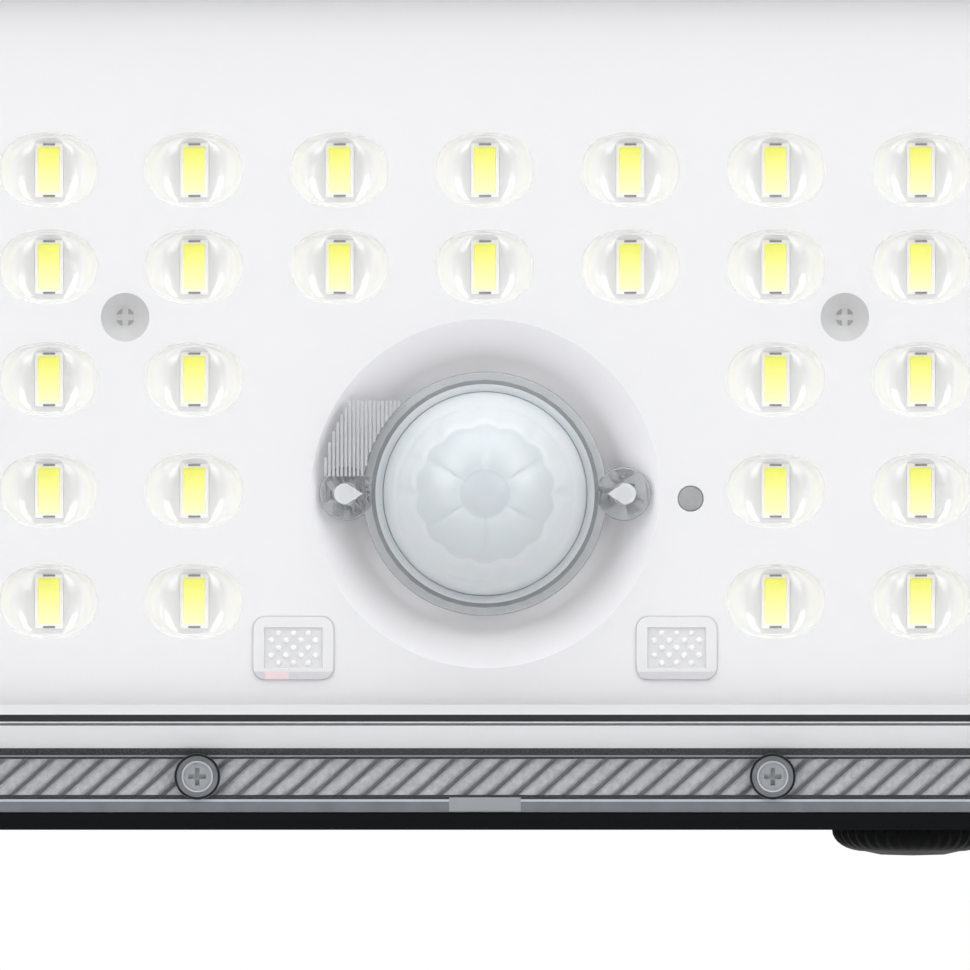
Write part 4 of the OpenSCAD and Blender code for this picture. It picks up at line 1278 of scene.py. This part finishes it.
@dataclass
class MotionSensor:
    """The faceted lens dome, its ring and the sensor behind."""

    bench: Bench
    rings: int = 44
    sides: int = 120
    bulge: float = 0.22 * MM
    # Where the dome's middle lens, its petals and its outer facets end, as shares of its radius.
    centre_share: float = 0.24
    petal_share: float = 0.66
    outer_share: float = 0.88
    petals: int = 6
    outer_petals: int = 14
    # How flat a facet's top is along and across, and how steep its sides are.
    facet_flat: Span = (2.6, 3.2)
    facet_steep: float = 0.6
    # How far the petals' outline waves, and over how wide a zone, as shares of the radius.
    scallop: float = 0.045
    scallop_share: float = 0.16
    radius: float = 10.5 * MM
    skin: float = 0.7 * MM
    inner_rings: int = 20
    # The radius of the dome's foot, and its front and back from the dome's middle.
    flange: float = 11.3 * MM
    flange_span: Span = (-0.4 * MM, 0.35 * MM)
    sharp_angle: float = 50.0
    ear: float = 14.3 * MM
    ear_pale: float = 1.5 * MM
    ring_round: float = 0.3 * MM
    # The ring is thin and clear up to this radius.
    thin_reach: float = 11.1 * MM
    line_reach: float = 11.75 * MM
    line_width: float = 0.55 * MM
    line_span: Span = (-0.04 * MM, 0.4 * MM)
    # The knurled patch lies between two radii and two heights, left of knurl_right.
    knurl_reach: Span = (12.7 * MM, 17.0 * MM)
    knurl_rise: Span = (1.8 * MM, 9.6 * MM)
    knurl_right: float = -8.8 * MM
    knurl_pitch: float = 0.42 * MM
    knurl_share: float = 0.62
    knurl_in: float = 1.95 * MM
    knurl_depth: float = 0.35 * MM
    knurl_least: float = 0.5 * MM
    # An ear's cap: its place, the length of its tip, and the half turn of its round end in degrees.
    cap: float = 14.5 * MM
    cap_tip: float = 1.9 * MM
    cap_radius: float = 1.05 * MM
    cap_turn: float = 118.0
    cap_steps: int = 12
    cap_out: float = 0.15 * MM
    cap_rim: float = 0.25 * MM
    cap_sunk: float = 0.15 * MM
    cap_depth: float = 0.6 * MM

    def __post_init__(self) -> None:
        """Takes the dome's place from the frame."""
        low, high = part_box("pir_lens")
        self.centre = Vector(((low.x + high.x) / 2, 0, (low.z + high.z) / 2))
        self.seat = low.y + self.radius

    def set_down(self, bm: Mesh) -> None:
        """Moves a mesh that was made round the Y axis to the dome's axis."""
        shift(bm, *self.centre)

    def facet(self, share: float, turn: float) -> float:
        """Works out how far one facet of the lens bulges at a point.

        Args:
            share: The point's distance from the axis, as a share of the dome's radius.
            turn: Its angle round the axis.

        Returns:
            The bulge from 0 to 1.
        """
        if share < self.centre_share:
            return 1 - (share / self.centre_share) ** 2
        if share < self.petal_share:
            count, low, high, shift = self.petals, self.centre_share, self.petal_share, 0.5
        elif share < self.outer_share:
            count, low, high, shift = self.outer_petals, self.petal_share, self.outer_share, 0.0
        else:
            return 0.0
        along = (share - low) / (high - low) * 2 - 1
        across = ((turn / (2 * math.pi) * count + shift) % 1) * 2 - 1
        rise = max(0.0, 1 - abs(along) ** self.facet_flat[0]) ** self.facet_steep
        return rise * max(0.0, 1 - abs(across) ** self.facet_flat[1]) ** self.facet_steep

    def dome(self) -> None:
        """Spins the dome and its flange, then raises the facets."""
        bm = bmesh.new()
        hollow = self.radius - self.skin
        angles = [math.radians(90) * i / self.rings for i in range(self.rings + 1)]
        points = [(self.radius * math.sin(a), -self.radius * math.cos(a)) for a in angles]
        front, back = self.flange_span
        points += [(self.radius + 5 * NEAR, front), (self.flange, front), (self.flange, back)]
        points += [(hollow, back), (hollow, 0)]
        angles = [math.radians(90) * (1 - (i + 1) / self.inner_rings) for i in range(self.inner_rings)]
        points += [(hollow * math.sin(a), -hollow * math.cos(a)) for a in angles]
        spun(bm, [bm.verts.new((r, y, 0)) for r, y in points], Vector((0, 1, 0)), self.sides)
        bmesh.ops.recalc_face_normals(bm, faces=bm.faces)
        for face in bm.faces:
            centre = face.calc_center_median()
            share = math.hypot(centre.x, centre.z) / self.radius
            # Faces past the petals take the rim finish, painted paler to lift the shade where the dome turns
            # sideways.
            face.material_index = 1 if share < self.centre_share else 2 if share > self.petal_share else 0
        for vert in bm.verts:
            if abs(vert.co.length - self.radius) > NEAR or vert.co.y > -0.5 * MM:
                continue
            share = math.hypot(vert.co.x, vert.co.z) / self.radius
            turn = math.atan2(vert.co.z, vert.co.x)
            sunk = self.bulge * (1 - self.facet(share, turn)) if share < self.outer_share else 0.0
            near = max(0.0, 1 - abs(share - self.petal_share) / self.scallop_share)
            bent = min(0.999, share + self.scallop * near * abs(math.sin(turn * self.outer_petals / 2)))
            ray = Vector((bent * math.cos(turn), -math.sqrt(1 - bent**2), bent * math.sin(turn)))
            vert.co = ray * (self.radius - sunk)
        self.set_down(shift(bm, y=self.seat))
        self.bench.place(
            "sensor_dome", bm, [LENS_HDPE, LENS_CORE, LENS_PAINTED_LIGHT_RIM], "lens_plastic", ["pir_lens"],
            sharp_angle=self.sharp_angle, weighted=False,
        )

    def ring(self) -> None:
        """Makes the smoky ring with its ears, darker at its edges and pale at the screws."""
        bm = self.bench.merged("pir_ring")
        round_edges(bm, self.ring_round, 3)
        for face in bm.faces:
            centre = face.calc_center_median() - self.centre
            ear = min(math.hypot(centre.x - side * self.ear, centre.z) for side in (-1, 1))
            reach = max(math.hypot(v.co.x - self.centre.x, v.co.z - self.centre.z) for v in face.verts)
            if ear < self.ear_pale:
                face.material_index = 2
            elif reach < self.thin_reach:
                face.material_index = 3
            elif abs(face.normal.y) < 0.9:
                face.material_index = 1
        self.bench.place(
            "sensor_ring", bm, [SMOKE_PC, SMOKE_EDGE, SMOKE_PALE, SMOKE_THIN], "smoky_plastic", ["pir_ring"]
        )

    def shade_line(self) -> None:
        """Makes the dark line where the ring meets the dome's foot."""
        size = 2 * self.line_reach
        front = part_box("pir_ring")[0].y
        line = ring_band(size, size, 0.999 * self.line_reach, self.line_width, front, self.line_span)
        self.set_down(line)
        self.bench.place("ring_line", line, [SMOKE_EDGE], "smoky_plastic", weighted=False)

    def knurl(self) -> None:
        """Makes the knurled patch on the cover's inner face, beside the ring's upper left."""
        bm = bmesh.new()
        inner, outer = self.knurl_reach
        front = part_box("lens_cover")[0].y + self.knurl_in
        x = -outer + self.knurl_pitch
        while x < self.knurl_right:
            bottom = max(self.knurl_rise[0], math.sqrt(max(inner**2 - x**2, 0.0)))
            top = min(self.knurl_rise[1], math.sqrt(outer**2 - x**2))
            if top - bottom > self.knurl_least:
                right = x + self.knurl_pitch * self.knurl_share
                end = Vector((right, front + self.knurl_depth, top))
                join(bm, box_solid(Vector((x, front, bottom)), end))
            x += self.knurl_pitch
        self.set_down(bm)
        self.bench.place("knurled_patch", bm, [KNURL], "clear_plastic", weighted=False)

    def ear_caps(self) -> None:
        """Makes the pale tear-shaped cap over each of the ring's screws."""
        front = min(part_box("pir_ring")[0].y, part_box("pir_screws")[0].y) - self.cap_out
        bm = bmesh.new()
        for side in (-1, 1):
            cap = bmesh.new()
            steps = range(2 * self.cap_steps + 1)
            turns = [math.radians(self.cap_turn * (i / self.cap_steps - 1)) for i in steps]
            outline = [(-self.cap_tip, 0.0)]
            outline += [(self.cap_radius * math.cos(t), self.cap_radius * math.sin(t)) for t in turns]
            face = cap.faces.new([cap.verts.new((x, front, z)) for x, z in outline])
            bmesh.ops.inset_individual(cap, faces=[face], thickness=self.cap_rim, depth=self.cap_sunk)
            deepen(cap, self.cap_depth)
            bmesh.ops.scale(cap, vec=(side, 1, 1), verts=cap.verts)
            if side < 0:
                bmesh.ops.reverse_faces(cap, faces=cap.faces)
            join(bm, shift(cap, side * self.cap))
        self.set_down(bm)
        self.bench.place("ear_caps", bm, [SMOKE_PALE], "smoky_plastic", weighted=False)

    def build(self) -> None:
        """Builds the sensor."""
        self.dome()
        self.ring()
        self.shade_line()
        self.knurl()
        self.ear_caps()
        self.bench.dress(["pir_screws", "pir_sensor"], PLATED)


@dataclass
class DottedWindow:
    """A milky window with a grid of small lenses."""

    bench: Bench
    node: str
    warm: bool
    frame: tuple[float, float, float] = (8.3 * MM, 6.5 * MM, 1.25 * MM)
    border: float = 1.1 * MM
    step: float = 0.08 * MM
    sunk: float = 0.25 * MM
    dot: float = 0.33 * MM
    dot_flat: float = 0.6
    dot_pitch: Span = (1.53 * MM, 0.77 * MM)
    columns: int = 4
    rows: int = 5
    lower_edge: float = 0.8 * MM
    warm_span: Span = (-2.9 * MM, -0.5 * MM)

    def plate(self, front: float, back: float) -> Mesh:
        """Makes the frame with its sunk pane, and marks its lower edge.

        Args:
            front: Its front along Y.
            back: Its back.

        Returns:
            The mesh, about X = 0 and Z = 0.
        """
        bm = rounded_plate(*self.frame, front, 6)
        pane = next(iter(bm.faces))
        for inset in (self.border, self.step):
            bmesh.ops.inset_individual(bm, faces=[pane], thickness=inset, use_even_offset=True)
        pane.material_index = 1
        deepen(bm, back - front)
        bmesh.ops.translate(bm, vec=(0, self.sunk, 0), verts=pane.verts)
        low = -self.frame[1] / 2 + self.lower_edge
        cuts = [((0, 0, low), (0, 0, 1))] + [((x, 0, 0), (1, 0, 0)) for x in self.warm_span]
        for place, normal in cuts:
            geometry = bm.verts[:] + bm.edges[:] + bm.faces[:]
            bmesh.ops.bisect_plane(bm, geom=geometry, plane_co=place, plane_no=normal)
        for face in bm.faces:
            centre = face.calc_center_median()
            if face.normal.y < -0.5 and centre.z < low and abs(centre.x) < self.frame[0] / 2 - 0.2 * MM:
                lit = self.warm and self.warm_span[0] < centre.x < self.warm_span[1]
                face.material_index = 4 if lit else 3
        return bm

    def build(self) -> None:
        """Builds the frame, the pane and its dots."""
        low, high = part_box(self.node)
        place = middle((low, high))
        bm = self.plate(low.y, high.y)
        for row in range(self.rows):
            inner = row % 2 == 0
            for column in range(self.columns - inner):
                x = (column - (self.columns - 1 - inner) / 2) * self.dot_pitch[0]
                z = ((self.rows - 1) / 2 - row) * self.dot_pitch[1]
                dot = bmesh.new()
                bmesh.ops.create_icosphere(dot, subdivisions=2, radius=self.dot)
                bmesh.ops.scale(dot, vec=(1, self.dot_flat, 1), verts=dot.verts)
                join(bm, paint(shift(dot, x, low.y + self.sunk, z), 2))
        shift(bm, place.x, 0, place.z)
        finishes = [PANE_FRAME, PANE, PANE_DOT, SHADE_LINE, PINK]
        self.bench.place(f"{self.node}_pane", bm, finishes, "diffuser", [self.node])


@dataclass
class Dial:
    """The ribbed mode knob under the housing."""

    bench: Bench
    ribs: int = 40
    rib_sides: int = 6
    groove: float = 0.3 * MM
    grip: Span = (0.8, 0.95)
    top_round: float = 0.5 * MM
    straight: float = 0.5
    crown: float = 3.4 * MM
    crown_steps: int = 8
    crown_drop: float = 0.45 * MM
    # The end's flat middle, as a share of the radius, and how little it is sunk.
    end_share: float = 0.4
    end_drop: float = 0.1 * MM
    # The ribs start this far under the knob's top.
    plain: float = 0.4 * MM

    def outline(self, radius: float, height: float) -> list[Span]:
        """Works out the knob's outline, from the middle of its top to the middle of its end.

        Args:
            radius: The knob's radius.
            height: Its height.

        Returns:
            The radius and the height of each point.
        """
        side = height * self.straight
        points = [(0.0, 0.0), (radius - self.top_round, 0.0), (radius, -self.top_round)]
        points += [(radius, -0.3 * height), (radius, -side)]
        for i in range(1, self.crown_steps + 1):
            angle = math.radians(90) * i / self.crown_steps
            drop = (height - side - self.crown_drop) * math.sin(angle)
            points.append((radius - self.crown * (1 - math.cos(angle)), -side - drop))
        return points + [(radius * self.end_share, -height + self.end_drop), (0.0, -height)]

    def build(self) -> None:
        """Turns the knob from its outline and presses the grip ribs into it."""
        low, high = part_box("mode_knob")
        axis = middle((low, high))
        radius = (high.x - low.x) / 2
        bm = bmesh.new()
        outline = [bm.verts.new((r, 0, z)) for r, z in self.outline(radius, high.z - low.z)]
        spun(bm, outline, Vector((0, 0, 1)), self.ribs * self.rib_sides)
        for vert in bm.verts:
            reach = math.hypot(vert.co.x, vert.co.y)
            if reach < radius * self.grip[0] or vert.co.z > -self.plain:
                continue
            wave = 0.5 - 0.5 * math.cos(math.atan2(vert.co.y, vert.co.x) * self.ribs)
            share = (reach / radius - self.grip[0]) / (self.grip[1] - self.grip[0])
            factor = 1 - self.groove * wave * min(1.0, max(0.0, share)) / reach
            vert.co.x *= factor
            vert.co.y *= factor
        bmesh.ops.recalc_face_normals(bm, faces=bm.faces)
        shift(bm, axis.x, axis.y, high.z)
        self.bench.place(
            "dial_grip", bm, [KNOB_ABS], "knob_plastic", ["mode_knob"], Body.DIAL, weighted=False
        )
        self.bench.dress(["knob_shaft"], PLATED)


# A node with its finish, its material slot, and the size and steps of its edges' rounding.
Rounded = tuple[str, Finish, str, float, int]
# Nodes that keep their edges, and their finish.
Dressed = tuple[tuple[str, ...], Finish]


@dataclass
class Assembly:
    """A sub-assembly whose nodes keep their shape: some get rounded edges, and each a finish."""

    bench: Bench
    body: Body = Body.HEAD
    rounded: tuple[Rounded, ...] = ()
    dressed: tuple[Dressed, ...] = ()

    def build(self) -> None:
        """Rounds and dresses the nodes."""
        for name, finish, slot, size, steps in self.rounded:
            self.bench.refine(name, finish, slot, size, steps, self.body)
        for names, finish in self.dressed:
            self.bench.dress(list(names), finish)


@dataclass
class Housing(Assembly):
    """The black rear housing and everything inside it."""

    rounded: tuple[Rounded, ...] = (
        ("rear_housing", BLACK_ABS, "black_plastic", 0.35 * MM, 2),
        ("tilt_lug", BLACK_ABS, "black_plastic", 0.5 * MM, 3),
        ("hinge_ears", BLACK_ABS, "black_plastic", 0.4 * MM, 3),
        ("battery_door", BLACK_ABS, "black_plastic", 0.5 * MM, 3),
        ("vent_plug", GREY_NYLON, "grey_rubber", 0.3 * MM, 3),
        ("door_screws", PLATED, "steel", 0.2 * MM, 2),
    )
    dressed: tuple[Dressed, ...] = (
        (("housing_bosses", "battery_tray"), INNER_ABS),
        (("panel_hinge_pins", "board_screws", "cell_tabs"), PLATED),
        (("status_led",), LED_PACKAGE),
        (("ir_receiver", "controller_chip", "inductor", "mode_switch"), EPOXY),
        (("controller_board",), MASK_GREEN),
        (("capacitors",), CAPACITOR),
        (("shaft_seal",), RUBBER),
        (("battery_cells",), SLEEVE),
    )


@dataclass
class Panel(Assembly):
    """The hinged solar panel."""

    body: Body = Body.PANEL
    rounded: tuple[Rounded, ...] = (
        ("panel_frame", BLACK_ABS, "black_plastic", 0.6 * MM, 3),
        ("panel_knuckles", BLACK_ABS, "black_plastic", 0.4 * MM, 3),
        ("junction_box", INNER_ABS, "inner_plastic", 0.6 * MM, 3),
        ("panel_glass", GLASS, "panel_glass", 0.3 * MM, 2),
    )
    dressed: tuple[Dressed, ...] = (
        (("panel_backsheet",), MASK_WHITE),
        (("solar_cells",), SILICON),
        (("cell_ribbons",), RIBBON),
        (("junction_screws",), PLATED),
    )


@dataclass
class Mount(Assembly):
    """The wall bracket and its bolt."""

    body: Body = Body.BRACKET
    rounded: tuple[Rounded, ...] = (
        ("wall_bracket", BLACK_ABS, "black_plastic", 0.5 * MM, 3),
        ("tilt_bolt", PLATED, "steel", 0.3 * MM, 2),
    )
    dressed: tuple[Dressed, ...] = ((("friction_washers",), GREY_NYLON), (("clamp_washer",), PLATED))


@dataclass
class Clamp(Assembly):
    """The clamp knob on the tilt bolt."""

    body: Body = Body.CLAMP
    rounded: tuple[Rounded, ...] = (("clamp_knob", KNOB_ABS, "black_plastic", 0.6 * MM, 3),)
    dressed: tuple[Dressed, ...] = ((("knob_insert",), BRASS),)


# ---------------------------------------------------------------- the studio


@dataclass
class Studio:
    """The floor, the light and the camera."""

    lens: float = 1080.0
    sensor: float = 36.0
    distance: float = 3.0
    aim_z: float = -0.0144
    # The front softboxes face this height on the plate.
    light_z: float = -0.015
    floor_z: float = -0.25
    floor_half: float = 1.4
    floor_y: float = -0.1
    # The surround's light straight ahead of the lamp and at its sides, and where the one fades to
    # the other: it stays dark in front, so that the clear cover shows no haze.
    sky_light: Span = (0.03, 0.5)
    sky_fade: Span = (-0.95, -0.4)
    # Each softbox's name, place, size and power.
    softboxes: tuple[tuple[str, tuple[float, float, float], Span, float], ...] = (
        ("left softbox", (-0.6, -0.72, 0.36), (0.42, 0.6), 3.5),
        ("right softbox", (0.6, -0.72, 0.36), (0.42, 0.6), 3.5),
        ("low softbox", (0.0, -0.75, -0.15), (1.1, 0.16), 0.7),
        ("top softbox", (0.0, -0.5, 0.9), (1.2, 0.6), 5.8),
        ("back softbox", (0.3, 1.1, 0.7), (1.2, 0.9), 9.0),
    )

    def softbox(self, name: str, place: Vector, aim: Vector, size: Span, power: float) -> None:
        """Hangs one softbox.

        Args:
            name: Its name.
            place: Its middle.
            aim: The point that it faces.
            size: Its width and height.
            power: Its power in watts.
        """
        data = bpy.data.lights.new(name, "AREA")
        data.shape = "RECTANGLE"
        data.size, data.size_y = size
        data.energy = power
        lamp = bpy.data.objects.new(name, data)
        lamp.location = place
        lamp.rotation_mode = "QUATERNION"
        lamp.rotation_quaternion = (aim - place).to_track_quat("-Z", "Y")
        bpy.context.scene.collection.objects.link(lamp)

    def sky(self) -> None:
        """Sets a white surround that lights the object from all sides but the front."""
        scene = bpy.context.scene
        scene.view_settings.view_transform = "Standard"
        scene.world = bpy.data.worlds.new("white surround")
        scene.world.use_nodes = True
        tree = scene.world.node_tree
        tree.nodes.clear()
        place = add_node(tree, "ShaderNodeTexCoord").outputs["Generated"]
        split = add_node(tree, "ShaderNodeSeparateXYZ", {}, {0: place})
        near, far = self.sky_fade
        low, high = self.sky_light
        settings = {"From Min": near, "From Max": far, "To Min": low, "To Max": high}
        level = add_node(tree, "ShaderNodeMapRange", settings, {"Value": split.outputs["Y"]})
        path = add_node(tree, "ShaderNodeLightPath")
        seen = add_node(tree, "ShaderNodeBackground", {"Color": (1, 1, 1, 1), "Strength": 1.0})
        light = add_node(
            tree, "ShaderNodeBackground", {"Color": (1, 1, 1, 1)}, {"Strength": level.outputs["Result"]}
        )
        parts = {0: path.outputs["Is Camera Ray"], 1: light.outputs[0], 2: seen.outputs[0]}
        mix = add_node(tree, "ShaderNodeMixShader", {}, parts)
        out = tree.nodes.new("ShaderNodeOutputWorld")
        tree.links.new(mix.outputs[0], out.inputs["Surface"])

    def build(self) -> None:
        """Sets up the studio."""
        scene = bpy.context.scene
        plate_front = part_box("reflector")[0].y
        camera = bpy.data.objects.new("camera", bpy.data.cameras.new("camera"))
        camera.data.lens = self.lens
        camera.data.sensor_width = self.sensor
        camera.location = (0, plate_front - self.distance, self.aim_z)
        camera.rotation_euler = (math.radians(90), 0, 0)
        scene.collection.objects.link(camera)
        scene.camera = camera
        self.sky()
        lamp_front = Vector((0, plate_front, self.light_z))
        for name, place, size, power in self.softboxes:
            behind = place[1] > 0
            self.softbox(name, Vector(place), Vector() if behind else lamp_front, size, power)
        bm = bmesh.new()
        bmesh.ops.create_grid(bm, x_segments=1, y_segments=1, size=self.floor_half)
        shift(bm, 0, self.floor_y, self.floor_z)
        show("floor", bm, [Solid("pale studio floor", "dcdcdc", 0.8, mottle=0.0)])


def main() -> None:
    """Builds the flood light around its frame."""
    logging.basicConfig(level=logging.INFO, format="%(message)s")
    bench = Bench(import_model())
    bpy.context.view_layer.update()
    for part in (
        Studio(), Cover(bench), Reflector(bench), Leds(bench), MotionSensor(bench),
        DottedWindow(bench, "status_window", warm=True), DottedWindow(bench, "receiver_window", warm=False),
        Housing(bench), Dial(bench), Panel(bench), Mount(bench), Clamp(bench),
    ):
        LOG.info("%s", type(part).__doc__)
        part.build()
    LOG.info("%d pieces placed", len(bench.made))


if __name__ == "__main__":
    main()
